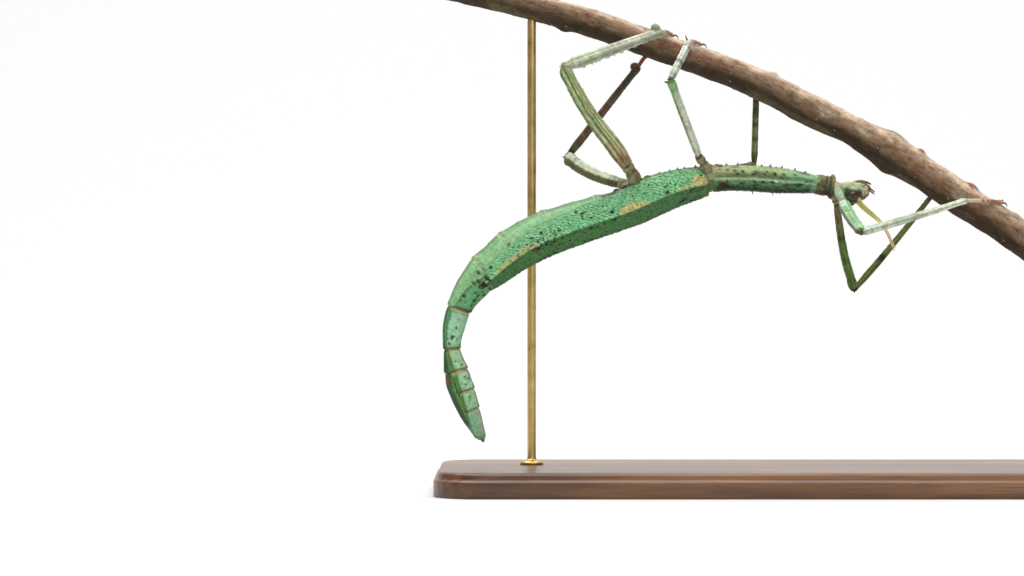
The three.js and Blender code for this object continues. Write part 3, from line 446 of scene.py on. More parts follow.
def spotted(colour, s, phi, around, marks, wob, soft=1.0):
    """Paints a list of marks. around is the width of one degree, or of one unit of phi, in millimetres."""
    for s0, p0, rs, rp, kind in marks:
        near = (np.abs(s - s0) < rs * 2.2)
        if not near.any():
            continue
        grow = 1.3 if 76 < s0 < 93 and around < 0.5 else 1.38 if s0 < 25 and around < 0.5 else 1.12
        d = np.hypot((s - s0) / rs, (phi - p0) * around / rp) / grow + 0.3 * wob
        colour = blend(colour, SPOT_KINDS[kind], (1 - step(d, 0.62, 1.12)) * 0.93 * near * soft)
    return colour


RIM_KEYS = ["mesothorax", "metathorax", "abdomen_1", "abdomen_2", "abdomen_3", "abdomen_4", "abdomen_5", "abdomen_6",
            "abdomen_7", "abdomen_8", "abdomen_9", "abdomen_10"]
RIMS = [RINGS[k] for k in RIM_KEYS]


def tergite_edge(s):
    """Angle of the back plate's lower edge along the side of the abdomen."""
    return np.interp(s, [41, 60, 74, 76.6, 78.4, 81, 84, 86, 92, 96, 99, 101, 106, 112], [-24, -24, -10, 24, 10, 0, -8, -42, -36, -24, -24, -14, -62, -70])


def trunk_surface(S, TH):
    a, belly, back = stations(SKIN_TRUNK, S)
    th = np.degrees(TH)
    phi = np.where(np.abs(th) <= 90, th, np.where(th > 90, 180 - th, -180 - th))
    l, d = oval(TH, a, belly, back)
    P0 = body_point(S, l, d)
    n1 = noise(P0, 1.6, 3, 2)
    n2 = noise(P0, 0.5, 5, 2)
    n3 = noise(P0, 0.22, 8, 1)
    out = 0.02 * n1 + 0.018 * n2
    for k, r in enumerate(RIMS):
        size = [0.03, 0.06, .05, .05, .06, .06, .09, .13, .12, .13, .13, .12][k]
        out += size * (step(S, r - 2.1, r - 0.12) * (S < r)) - size * 0.9 * ((1 - step(S, r, r + 1.0)) * (S >= r)) - 0.09 * bump(S, r + 0.06, 0.16)
    thorax = step(S, 4.9, 6.4) * (1 - step(S, 24.2, 25.6))
    meta = step(S, 25.8, 27.5) * (1 - step(S, 39.5, 41))
    # keels of the middle thorax: side line, lower line and midline
    out += thorax * (0.17 * bump(phi, 29, 7) - 0.10 * bump(phi, 15, 8) - 0.07 * bump(phi, 44, 8) + 0.14 * bump(phi, -45, 6) - 0.12 * bump(phi, -57, 7) + 0.10 * bump(phi, 90, 7))
    out += meta * (0.14 * bump(phi, -45, 7) - 0.1 * bump(phi, -57, 7))
    # low warts on the thorax
    f1, _, own = cells(S / 0.85, phi * 0.045 / 0.85 + 7, 11)
    out += (thorax + meta) * 0.11 * (1 - step(f1, 0.08, 0.34)) * (own > 0.55)
    # collar and saddle of the first ring
    first = 1 - step(S, 4.3, 4.7)
    wart, _, wart_own = cells(S / 0.6, phi * 0.04 / 0.6 + 3, 17)
    out += first * (0.10 * n2 + 0.13 * (1 - step(wart, 0.1, 0.42)) * (wart_own > 0.35))
    out += first * (0.20 * bump(S, 1.15, 0.32) - 0.14 * bump(S, 2.1, 0.35) * (1 - bump(phi, -90, 40)) + 0.10 * bump(S, 3.3, 0.6) + 0.05 * n2)
    # fold between the back plates and the belly plates of the abdomen
    hind = step(S, 41.2, 43)
    edge = tergite_edge(S)
    out += hind * (0.07 * step(phi, edge - 1, edge + 6) - 0.12 * bump(phi, edge - 4, 5.5) - 0.05)
    # pleats of the soft side, and the keels of the belly and back
    pleura = hind * step(phi, -68, -50) * (1 - step(phi, edge - 12, edge))
    out += pleura * (0.05 * noise(P0, (3.5, 3.5, 0.8), 21, 2))
    for r in RIMS[3:7]:
        out += pleura * (0.07 * np.sin((S - r) * 7) * bump(S, r, 0.9))
        out += hind * (0.26 * bump(S, r - 0.2, 1.1) - 0.10) * (1 - step(phi, -48, -16)) * (S > r - 4) * (S < r + 4)
    out += hind * (0.11 * bump(phi, -90, 9) + 0.08 * bump(phi, 90, 9)) * (S < 92)
    # tip: the flat sides and the ridges of the last rings
    tail = step(S, 92.8, 94)
    out += tail * (0.07 * bump(phi, 34, 5) + 0.06 * bump(phi, 62, 5) - 0.04)
    nl, nd = np.cos(TH) / np.maximum(a, 0.3), np.sin(TH) / np.maximum(np.where(d > 0, back, belly), 0.3)
    k = 1 / np.hypot(nl, nd)
    P = body_point(S, l + nl * k * out, d + nd * k * out)

    # ---- colour
    col = np.ones(S.shape + (3,)) * GREEN_SIDE
    # first ring: olive and rusty brown with a dark front edge
    c = blend(blend(np.ones_like(col) * rgb(128, 130, 82), RUST, step(n1, -0.1, 0.6) * 0.45), BROWN_DARK, step(n2, 0.05, 0.45) * 0.7)
    c = blend(c, rgb(150, 158, 92), (1 - step(phi, -40, -8)) * 0.6 * step(n2, -0.6, 0.0))
    c = blend(c, BROWN_DARK, 0.85 * bump(S, 1.75, 0.3) + 0.5 * bump(S, 2.6, 0.3) + 0.7 * step(phi, 45, 75))
    c = blend(c, rgb(196, 176, 130), 0.7 * (1 - step(S, 0.8, 1.25)) * (1 - step(phi, 20, 60)))
    c = blend(c, rgb(50, 84, 50), 0.6 * step(phi, 5, 30) * (1 - step(phi, 40, 70)))
    c = blend(c, BROWN_DARK, 0.7 * bump(wart, 0.5, 0.14) * (wart_own > 0.35))
    col = blend(col, c, 1 - step(S + 0.9 * n1 + 0.4 * n2, 4.2, 5.6))
    # middle thorax
    c = np.ones_like(col) * rgb(152, 176, 120)
    c = blend(c, rgb(164, 168, 108), 0.6 * step(n1, 0, 0.6))
    c = blend(c, rgb(126, 176, 136), 0.8 * (1 - step(S, 8.0, 12.5)))
    c = blend(c, rgb(190, 204, 164), 0.6 * step(noise(P0, (1.6, 0.8, 0.8), 41, 2), 0.1, 0.45) * (1 - step(phi, -42, -34)) + 0.35 * step(n2, 0.3, 0.6))
    c = blend(c, rgb(96, 92, 60), 0.7 * step(noise(P0, (2.2, 0.7, 0.7), 43, 2), 0.12, 0.4) * (1 - step(phi, 18, 26)))
    c = blend(c, rgb(84, 62, 38), 0.75 * bump(phi, 15, 7) * step(n1, -0.55, 0.15) * step(S, 8.5, 11))
    c = blend(c, rgb(60, 84, 50), 0.55 * bump(phi, 8, 8))
    c = blend(c, rgb(150, 204, 162), 0.9 * bump(phi, 29, 4.6) * step(n2, -0.9, -0.1))
    back_c = blend(np.ones_like(col) * rgb(72, 108, 70), rgb(94, 140, 92), step(n1, -0.2, 0.6) * (1 - step(phi, 46, 62)))
    back_c = blend(back_c, rgb(112, 168, 120), 0.5 * bump(phi, 47, 4) * step(n2, -0.6, 0.1))
    back_c = blend(back_c, rgb(44, 60, 38), step(phi, 58, 84) * 0.85)
    back_c = blend(back_c, rgb(62, 44, 28), 0.8 * step(S + 0.8 * n1, 21.4, 23.0) * (1 - step(S, 24.0, 24.8)))
    c = blend(c, back_c, step(phi, 35, 43))
    c = blend(c, BROWN_DARK, 0.85 * bump(phi, -47, 4.0))
    c = blend(c, blend(np.ones_like(col) * rgb(176, 160, 140), rgb(206, 200, 170), step(n1, -0.2, 0.4)), 1 - step(phi, -55, -50))
    c = blend(c, rgb(84, 70, 52), 0.6 * step(n2, 0.15, 0.5) * (1 - step(phi, -55, -50)))
    c = blend(c, blend(np.ones_like(col) * rgb(176, 182, 128), rgb(140, 120, 92), step(n2, -0.3, 0.3)), 0.7 * step(S, 20.6, 23.4) * (1 - step(phi, 8, 24)) * step(phi, -46, -38) * 0.85)
    c = blend(c, rgb(30, 44, 26), 0.75 * bump(phi, 36, 3) * step(n2, -0.6, 0.0) + 0.6 * bump(phi, 21, 2.6) * step(n1, -0.6, 0.0))
    c = blend(c, rgb(28, 40, 24), 0.75 * step(noise(P0, (0.9, 0.5, 0.5), 37, 2), 0.08, 0.32) * step(phi, 34, 42))
    c = c * (1 - 0.2 * step(phi, -6, 6) * (1 - step(phi, 22, 27)))[..., None]
    col = blend(col, c, step(S + 0.9 * n1 + 0.4 * n2, 4.2, 5.6) * (1 - step(S, 25.0, 25.8)))
    # hind thorax under the wings
    c = blend(np.ones_like(col) * rgb(112, 106, 76), rgb(146, 138, 110), step(n1, -0.2, 0.5))
    c = blend(c, BROWN_DARK, 0.7 * step(n2, 0.0, 0.5))
    c = blend(c, rgb(40, 66, 40), step(phi, -10, 25))
    c = blend(c, rgb(150, 156, 108), (1 - step(S, 26.6, 27.4)) * (1 - step(phi, 26, 38)) * 0.9)
    c = blend(c, rgb(88, 118, 76), (1 - step(S, 26.6, 27.4)) * step(phi, 26, 38) * 0.9)
    col = blend(col, c, step(S, 24.6, 25.3) * (1 - step(S, 41.0, 43.6 + n1)))
    # soft sides and belly of the abdomen
    side_c = blend(np.ones_like(col) * rgb(122, 176, 120), rgb(148, 196, 142), step(noise(P0, (4, 4, 4), 31, 1), -0.3, 0.6))
    side_c = blend(side_c, rgb(100, 156, 98), 0.7 * step(n1, 0.2, 0.7))
    side_c = blend(side_c, rgb(140, 188, 136), 0.75 * step(phi, -44, -18))
    side_c = blend(side_c, rgb(98, 124, 82), 0.7 * (1 - step(phi + 6 * n1, -46, -28)))
    side_c = blend(side_c, rgb(150, 130, 116), 0.5 * (1 - step(phi, -50, -38)) * step(n2, 0.2, 0.45))
    for r in RIMS[3:7]:
        # a dark green band before each joint is painted shade in the fold; the pale cream crease lines follow
        side_c = blend(side_c, rgb(88, 138, 88), 0.5 * bump(S, r - 0.5 + 0.3 * n1, 0.5))
        side_c = blend(side_c, rgb(206, 216, 170), 0.75 * bump(S, r + 0.3 * n1, 0.34) * step(n2, -0.8, 0.0) * step(phi, -60, -40) + 0.35 * bump(S, r - 0.9 + 0.4 * n1, 0.22))
    # back plates behind the wings
    back_c = blend(np.ones_like(col) * rgb(144, 192, 140), rgb(104, 166, 112), step(S, 73.5, 77.5))
    back_c = blend(back_c, rgb(84, 148, 100), 0.55 * step(n1, 0.0, 0.6) * step(S, 73.5, 77.5))
    back_c = blend(back_c, rgb(164, 212, 176), step(S, 84.8, 86.2) * (1 - step(S, 91.4, 92.8)) * 0.9)
    back_c = blend(back_c, rgb(160, 202, 152), step(S, 92.6, 93.4))
    back_c = blend(back_c, rgb(158, 212, 164), (step(S, 97.5, 98.2) * (1 - step(S, 105.0, 105.5))) * 0.85)
    back_c = blend(back_c, rgb(146, 196, 158), step(S, 105.4, 106.2))
    col_hind = blend(side_c, back_c, step(phi, edge - 1, edge + 4))
    col_hind = blend(col_hind, rgb(190, 206, 160), 0.45 * bump(phi, edge + 2, 2.6) * step(S, 76, 77) * step(n2, -0.7, 0.1))
    col_hind = blend(col_hind, rgb(62, 78, 42), 0.7 * bump(phi, edge + 7, 3.0) * step(S, 76, 77) * (1 - step(S, 83, 84.5)))
    strip = np.interp(S, [84, 87, 90, 92.3, 95, 97.8, 100, 103, 105.6, 108], [-14, -10, -15, -18, -3, 8, 6, 0, -12, -42])
    outer = (1 - step(phi + 5 * n1, strip - 6, strip + 5)) * step(S, 84.2, 85.4)
    col_hind = blend(col_hind, blend(np.ones_like(col) * rgb(78, 130, 82), rgb(52, 98, 46), step(S, 91, 92.6)), 0.92 * outer)
    col_hind = blend(col_hind, rgb(120, 166, 88), 0.6 * bump(phi, strip - 17, 7) * step(S, 92, 93.5) * (1 - step(S, 104, 106)))
    col_hind = blend(col_hind, rgb(34, 62, 34), 0.7 * outer * (1 - step(phi, strip - 46, strip - 34)))
    col_hind = blend(col_hind, rgb(60, 104, 60), 0.85 * bump(phi, edge - 7, 4) * step(S, 84.8, 86))
    col_hind = blend(col_hind, rgb(104, 84, 84), 0.8 * step(phi, 66, 84) * step(S, 92.8, 95) + 0.35 * step(phi, 74, 88) * step(S, 84, 86))
    col_hind = blend(col_hind, rgb(190, 166, 160), 0.75 * bump(phi, 52 + 6 * n1, 12) * step(S, 105.8, 106.6) * (1 - step(S, 110, 111)))
    for k, r in enumerate(RIMS[6:]):
        # hind rims: a brown band before the joint and a cream one behind it
        deep = [.5, .85, .7, .8, .7, .55][k]
        col_hind = blend(col_hind, rgb(84, 56, 34), deep * bump(S, r - 0.14 + 0.14 * n2, 0.24) * step(phi, edge - 8, edge + 6))
        col_hind = blend(col_hind, rgb(214, 172, 122), 0.85 * deep * bump(S, r + 0.40 + 0.14 * n1, 0.28) * step(phi, edge - 4, edge + 10) * step(n2, -0.7, 0.1))
    col_hind = blend(col_hind, BROWN_DARK, 0.65 * bump(S, 84.3, 0.3) * step(phi, 0, 50))
    col = blend(col, col_hind, step(S, 41.2, 43.4 + n1))
    wob = noise(P0, 0.32, 13, 2)
    right = np.abs(th) > 90
    shift = np.where(right, S + 0.55 * np.sin(S * 2.1), S)
    col = spotted(col, shift, np.where(right, phi + 4 * np.sin(S), phi), 0.046, MARKS, wob)
    # the brown spot under the seventh ring, and its edges
    col = blend(col, BROWN_DARK, 0.85 * bump(S, 98.6, 0.7) * bump(phi, -90, 34))
    f1, f2, own = cells(S / 0.34, phi * 0.046 / 0.34, 3)
    smooth = hind * (1 - step(phi, -10, 10)) * (1 - step(S, 82, 85))
    col = col * (1 + 0.10 * n1 + (0.10 * n2 + 0.08 * n3) * (1 - 0.75 * smooth))[..., None]
    col = col * lerp(1.0, 0.93, step(f1, 0.35, 0.6) * (1 - smooth))[..., None]
    rough = 0.42 + 0.10 * n1 + 0.08 * step(phi, 30, 60) - 0.10 * pleura
    return P, col, rough


def skin_trunk(shape):
    want = np.linspace(0.7, 111.8, 4000)
    weight = np.ones_like(want)
    for r in RIMS:
        weight += 1.8 * bump(want, r, 0.5)
    weight += 1.2 * (1 - step(want, 4.5, 6)) + 0.7 * step(want, 84, 86)
    cum = np.cumsum(weight)
    cum = (cum - cum[0]) / (cum[-1] - cum[0])
    rings, sides = 462, 70
    s = np.interp(np.linspace(0, 1, rings), cum, want)
    th = (np.arange(sides) + 0.5) / sides * 2 * np.pi - np.pi
    S, TH = np.meshgrid(s, th, indexing="ij")
    P, C, R = trunk_surface(S, TH)
    shape.rings(P, C, R)


def trunk_at(s, phi_deg, side=1, lift=0.0):
    th = rad(phi_deg) if side > 0 else math.pi - rad(phi_deg)
    s = np.array([float(s)])
    P, _, _ = trunk_surface(s[:, None], np.array([[th]]))
    _, _, dorsal, left = body_frame(s)
    a, belly, back = stations(SKIN_TRUNK, s)
    out = unit(left[0] * math.cos(th) / a[0] + dorsal[0] * math.sin(th) / (back[0] if math.sin(th) > 0 else belly[0]))
    return P[0, 0] + out * lift, out


# spines: along the lower keel and the back of the middle thorax, then the edge of the hind thorax
SPINES = [(22.4, -46, .55), (20.2, -46, .6), (18.1, -47, .5), (15.6, -47, .55), (13.9, -48, .65), (11.6, -48, .75), (9.0, -48, .75), (6.9, -46, .35),
          (23.4, -70, .3), (19.0, -66, .3), (16.6, -70, .3), (12.7, -68, .35), (10.3, -66, .3)]
BACK_SPINES = [(20.3, 100, .35), (17.1, 108, .8), (13.0, 100, .85), (11.5, 104, .35), (8.4, 96, .3), (15.2, 72, .22), (18.6, 76, .25), (10.2, 78, .2), (22.4, 84, .25)]
META_SPINES = [(28.3, -46, .5), (30.4, -46, .5), (31.7, -46, .6), (33.2, -47, .4), (35.2, -47, .45), (37.6, -48, .5), (39.0, -48, .3)]


def skin_spines(shape):
    for rows, col in ((SPINES, GREY_PINK), (META_SPINES, rgb(132, 120, 92))):
        for s, phi, h in rows:
            for side in (1, -1):
                p, out = trunk_at(s + (0 if side > 0 else 0.35), phi, side)
                spine(shape, p, out, h * 0.78, 0.26, col, BROWN_DARK, lean=-body_frame(s)[1] * 0.25)
    for s, phi, h in BACK_SPINES:
        for side in (1, -1):
            p, out = trunk_at(s + (0 if side > 0 else 0.3), phi if phi <= 90 else 180 - phi, 1 if (phi <= 90) == (side > 0) else -1)
            spine(shape, p, out, h, 0.17, rgb(80, 110, 74), BROWN_DARK, lean=-body_frame(s)[1] * 0.2)


def skin_knobs(shape):
    """Rough brown lumps where the hind coxae meet the body's underside."""
    for s, phi, r, seed in ((40.6, -52, .62, 1), (39.2, -56, .5, 2), (37.6, -52, .42, 3), (42.4, -48, .5, 4), (25.6, -48, .5, 5), (24.2, -54, .42, 6), (23.6, -40, .36, 7), (44.3, -60, .36, 8)):
        for side in (1, -1):
            p, out = trunk_at(s + (0 if side > 0 else .3), phi, side)
            along = body_frame(s)[1]
            blob(shape, p + out * r * 0.1, (r * 1.5, r * 0.85, r * 0.85), (unit(along), out, unit(np.cross(along, out))), rgb(132, 116, 90) if seed % 2 else rgb(98, 84, 60), rings=12, sides=16, rough=0.16, seed=seed)


def skin_operculum(shape):
    rings, sides = 90, 30
    s = lerp(97.35, 111.3, np.linspace(0, 1, rings))
    ang = (np.arange(sides) + 0.5) / sides * 2 * np.pi
    S, A = np.meshgrid(s, ang, indexing="ij")
    a, top, keel = stations(SKIN_BLADE, S)
    c, v = np.cos(A), np.sin(A)
    mid, deep = (top + keel) / 2, (keel - top) / 2
    # the blade folds up round the tip like a boat, with a sharp keel
    l = c * a * np.where(v > 0, 1.0, np.maximum(0.25, 1 + v * 0.55))
    d = -(mid - v * deep)
    P0 = body_point(S, l, d)
    n1, n2 = noise(P0, 1.2, 40, 2), noise(P0, 0.35, 41, 2)
    out = 0.03 * n1 + 0.02 * n2
    P = body_point(S, l + c * out, d + v * out)
    col = np.ones(S.shape + (3,)) * rgb(88, 146, 78)
    under = 1 - step(v + 0.15 * n1, -0.35, 0.4)
    col = blend(col, rgb(36, 66, 32), 0.92 * under)
    col = blend(col, rgb(132, 180, 112), 0.75 * bump(v, 0.42, 0.22) * step(S, 99, 101))
    col = blend(col, rgb(58, 92, 54), 0.8 * step(v, 0.5, 0.8))
    col = blend(col, BROWN, 0.8 * bump(S, 98.6, 0.8) * under + 0.45 * step(n2, 0.35, 0.8))
    col = blend(col, MINT, step(S, 107.5, 110) * 0.4)
    shape.rings(P, col * (1 + 0.12 * n1)[..., None], 0.42)


def skin_cerci(shape):
    for side in (1, -1):
        root, end = body_point(109.4, side * 0.5, 0.35), body_point(112.5, side * 0.5, 0.3)
        path = Path(np.linspace(root, end, 20))
        along = unit(end - root)
        x = unit(np.cross(along, [0, 1, 0]))
        y = np.cross(along, x)
        t = np.linspace(0, 1, 12)
        r = 0.44 * (1 - 0.3 * t ** 2) * (1 - 0.75 * step(t, 0.85, 1))
        a = np.arange(12) / 12 * 2 * np.pi
        P = path.at(t)[:, None] + x * (r[:, None] * np.cos(a))[..., None] + y * (r[:, None] * np.sin(a))[..., None]
        shape.rings(P, lerp(rgb(150, 196, 160), rgb(104, 116, 100), t[:, None, None]) * np.ones(P.shape), 0.45)


# ================================================================ head
def head_surface(X, TH):
    a, belly, back = stations(HEAD_SECTION, X)
    th = np.degrees(TH)
    phi = np.where(np.abs(th) <= 90, th, np.where(th > 90, 180 - th, -180 - th))
    l, d = oval(TH, a, belly, back, 0.88)
    P0 = head_point(X, l, d)
    n1, n2, n3 = noise(P0, 0.9, 60, 2), noise(P0, 0.3, 61, 2), noise(P0, 0.14, 62, 1)
    sgn = np.where(np.abs(th) <= 90, 1.0, -1.0)
    # distance from the middle of the eye, on the head's surface
    ex, el, ed = X - EYE["along"], l * sgn - EYE["out"] - 0.25, d - EYE["up"] - 0.1
    eye = np.sqrt(ex ** 2 + el ** 2 + ed ** 2)
    out = 0.03 * n1 + 0.02 * n2
    out += 0.06 * bump(eye, 0.98, 0.24) - 0.08 * bump(eye, 0.6, 0.3)
    # cheek, the groove behind it, the face's suture and the upper lip
    out += 0.13 * bump(X, 1.9, 0.9) * bump(phi, -8, 24) - 0.1 * bump(X, 0.55, 0.25)
    out += -0.09 * bump(phi, 8, 5) * step(X, 1.0, 1.8) * (1 - step(X, 3.6, 4.4))
    out += 0.16 * bump(X, 4.65, 0.5) * bump(phi, -2, 26) - 0.14 * bump(X, 5.28, 0.13) * (1 - step(phi, 40, 60)) + 0.10 * bump(X, 5.62, 0.22)
    out += 0.12 * bump(X, 4.2, 0.35) * bump(phi, 42, 12)
    out += 0.05 * bump(phi, 90, 8) * step(X, 0.8, 1.6) * (1 - step(X, 3, 4))
    nl, nd = np.cos(TH) / np.maximum(a, .3), np.sin(TH) / np.maximum(np.where(d > 0, back, belly), .3)
    k = 1 / np.hypot(nl, nd)
    P = head_point(X, l + nl * k * out, d + nd * k * out)
    col = np.ones(X.shape + (3,)) * rgb(192, 200, 152)                        # yellow-green cheek
    col = blend(col, rgb(156, 182, 116), 0.6 * step(n1, 0.0, 0.5))
    col = blend(col, rgb(190, 176, 130), 1 - step(X, 0.3, 1.0))               # creamy neck
    col = blend(col, rgb(140, 186, 120), 0.5 * bump(X, 1.9, 0.4) * bump(phi, 2, 12))
    col = blend(col, rgb(164, 160, 84), 0.7 * bump(X, 2.75, 0.45) * bump(phi, -2, 11))
    col = blend(col, rgb(206, 206, 178), 0.6 * bump(phi, -22, 7) * step(X, 0.8, 1.4) * (1 - step(X, 3.4, 4.0)))
    dark = step(phi, 12, 26) * step(X, 0.9, 1.5)
    col = blend(col, rgb(46, 66, 36), dark * 0.95)                             # dark green crown and temple
    col = blend(col, rgb(70, 98, 54), 0.5 * dark * step(n1, -0.1, 0.5))
    col = blend(col, rgb(36, 92, 62), 0.9 * bump(X, 1.6, 0.6) * bump(phi, 24, 15))
    col = blend(col, rgb(34, 22, 18), 0.95 * bump(X, 4.1, 0.6) * bump(phi, 30, 22))  # dark bar from eye to face
    col = blend(col, rgb(44, 30, 26), 0.7 * bump(X, 3.2, 0.9) * bump(phi, 66, 20))
    col = blend(col, rgb(156, 176, 148), step(X, 3.9, 4.3) * (1 - step(phi, 2, 16)))
    col = blend(col, rgb(178, 196, 172), 0.85 * bump(X, 4.75, 0.75) * bump(phi, -8, 26))
    col = blend(col, rgb(134, 196, 104), 0.95 * bump(X, 4.75, 0.32) * bump(phi, -8, 10))
    col = blend(col, rgb(36, 92, 44), 0.9 * bump(np.hypot((X - 4.75) / 0.3, (phi + 8) / 10), 1.0, 0.3) * (phi > -10))
    col = blend(col, rgb(198, 178, 146), 0.9 * step(X, 4.6, 5.0) * step(phi, 8, 22))
    col = blend(col, rgb(190, 166, 134), step(X, 5.35, 5.7) * 0.8)
    col = blend(col, rgb(60, 42, 28), 0.8 * step(X, 4.4, 4.9) * step(phi, 40, 62))
    col = blend(col, rgb(74, 44, 30), 0.8 * step(noise(P0, 0.45, 64, 2), 0.1, 0.4) * step(X, 4.9, 5.3))
    col = blend(col, rgb(112, 46, 34), 0.85 * step(X, 5.7, 6.1) * (1 - step(phi, 10, 40)) + 0.75 * (1 - step(phi, -62, -48)) * step(X, 2.9, 3.7))
    col = blend(col, rgb(70, 66, 58), 0.55 * (1 - step(phi, -62, -40)) * (1 - step(X, 2.4, 3.0)) * step(X, 0.8, 1.3))
    col = blend(col, rgb(226, 200, 200), 0.5 * bump(X, 5.95, 0.2) * bump(phi, -30, 14))
    col = col * (1 + 0.14 * n1 + 0.14 * n2 + 0.08 * n3)[..., None]
    return P, col, 0.4 + 0.1 * n1


def skin_head(shape):
    x = 0.05 + (HEAD_LENGTH - 0.05) * np.linspace(0, 1, 84)
    th = (np.arange(72) + 0.5) / 72 * 2 * np.pi - np.pi
    X, TH = np.meshgrid(x, th, indexing="ij")
    P, C, R = head_surface(X, TH)
    shape.rings(P, C, R)
    # soft neck inside the collar
    s = np.linspace(-0.5, 1.5, 14)
    ang = np.arange(40) / 40 * 2 * np.pi
    S, A = np.meshgrid(s, ang, indexing="ij")
    r = 1.18 + 0.12 * np.sin(S * 9) * 0.5 + 0.25 * (S - 0.2)
    P = body_point(S, np.cos(A) * r, np.sin(A) * r * 1.04 + 0.1)
    shape.rings(P, rgb(168, 148, 110) * (1 + 0.2 * noise(P, 0.5, 66, 2))[..., None], 0.5)


def tube(shape, path, radius, side, rings, sides, colour, R=0.5, wave=0.0, t0=0.0, t1=1.0):
    """A tube along a path. radius(t) gives half width and half thickness, colour(t, angle, point) its colour."""
    t = np.linspace(t0, t1, rings)
    at, along = path.at(t), path.along(t)
    side = np.asarray(side, float)
    wide = unit(side - along * (along @ side)[:, None])
    thick = np.cross(along, wide)
    a = (np.arange(sides) + 0.5) / sides * 2 * np.pi
    T, A = np.meshgrid(t, a, indexing="ij")
    w, h = radius(T, A)
    P = at[:, None] + wide[:, None] * (np.cos(A) * w)[..., None] + thick[:, None] * (np.sin(A) * h)[..., None]
    C = colour(T, A, P) if callable(colour) else np.broadcast_to(colour, P.shape)
    shape.rings(P, C, R)
    return P


def skin_antennae(shape):
    for side in (1, -1):
        path = spline([head_point(3.95, side * .6, 2.1), head_point(5.2, side * .5, 3.6), head_point(9.4, side * .46, 7.15), head_point(12.2, side * .55, 12.5)])

        def radius(t, a):
            r = lerp(ANTENNA["radius"] * 0.95, ANTENNA["tip"] * 0.62, step(t, 0.1, 0.6))
            beads = 0.93 + 0.09 * np.abs(np.cos(np.pi * (t * 26))) ** 0.6
            r = r * beads * lerp(1.25, 1, step(t, 0.06, 0.12)) * lerp(1, 0.35, step(t, 0.96, 1.0))
            flat = lerp(1.25, 1.0, step(t, 0.45, 0.6))
            return r * flat, r * 0.95

        def colour(t, a, P):
            c = np.ones(P.shape) * rgb(222, 218, 124)
            c = blend(c, rgb(168, 146, 92), 0.55 * step(np.sin(a + 0.9) * side, 0.3, 0.9) * (1 - step(t, 0.55, 0.62)))
            c = blend(c, rgb(214, 184, 136), step(t, 0.55, 0.62))
            c = blend(c, rgb(196, 140, 90), 0.6 * step(noise(P, 0.8, 70, 1), 0, 0.5) * step(t, 0.6, 0.65))
            c = blend(c, rgb(120, 90, 60), 0.45 * (np.abs(np.cos(np.pi * t * 26)) < 0.3))
            return c

        tube(shape, path, radius, HEAD_L, 106, 12, colour, 0.4)


def build_mouth(shape):
    red, cream = rgb(150, 98, 78), rgb(222, 200, 176)
    # lower lip and its flanking jaws, rounded plates under the front of the head
    blob(shape, head_point(4.4, 0, -1.2), (1.5, 0.95, 0.5), (HEAD_F, HEAD_L, HEAD_D), rgb(134, 104, 72), rings=16, sides=24, rough=0.08, seed=4)
    for side in (1, -1):
        blob(shape, head_point(5.2, side * 0.62, -1.0), (0.75, 0.4, 0.62), (unit(HEAD_F + HEAD_D * 0.35), HEAD_L, HEAD_D), rgb(128, 78, 58), rings=12, sides=16, rough=0.06, seed=5 + side)
        blob(shape, head_point(5.95, side * 0.4, -0.55), (0.5, 0.33, 0.55), (HEAD_F, HEAD_L, HEAD_D), rgb(92, 42, 32), rings=10, sides=14, rough=0.06, seed=9 + side)
        near = 1.0 if side > 0 else 0.35
        for pts, r0, seed in (([(2.7, .45, -1.05), (4.0, .75, -1.62), (5.3, .85, -1.62), (6.5, .9, -1.15)], .34, 3),
                              ([(5.0, .3, -1.2), (5.9, .5, -1.05), (6.5, .56, -.3), (7.4, .6, .35)], .26, 5)):
            path = spline([head_point(x, side * l * near, d) for x, l, d in pts])

            def radius(t, a, r0=r0):
                joints = 0.82 + 0.22 * np.abs(np.sin(np.pi * (t * 3.0 + 0.02))) ** 0.5
                return (r0 * (1 - 0.52 * t) * joints * lerp(1, 0.5, step(t, 0.95, 1.0)),) * 2

            def colour(t, a, P):
                c = np.ones(P.shape) * red
                c = blend(c, cream, 0.75 * step(np.cos(a - 2.2), -0.2, 0.5) * (1 - step(t, 0.5, 0.75)))
                c = blend(c, rgb(128, 108, 50), 0.8 * step(np.cos(a - 0.6), 0.4, 0.8) * (1 - step(t, 0.6, 0.8)))
                c = blend(c, rgb(60, 40, 32), 0.8 * step(t, 0.55, 0.8))
                c = blend(c, BROWN_DARK, 0.7 * (np.abs(np.sin(np.pi * (t * 3.0 + 0.02))) < 0.22) + 0.8 * step(t, 0.92, 0.98))
                return c * (1 + 0.15 * noise(P, 0.3, 77, 1))[..., None]

            tube(shape, path, radius, HEAD_L, 34, 12, colour, 0.35)


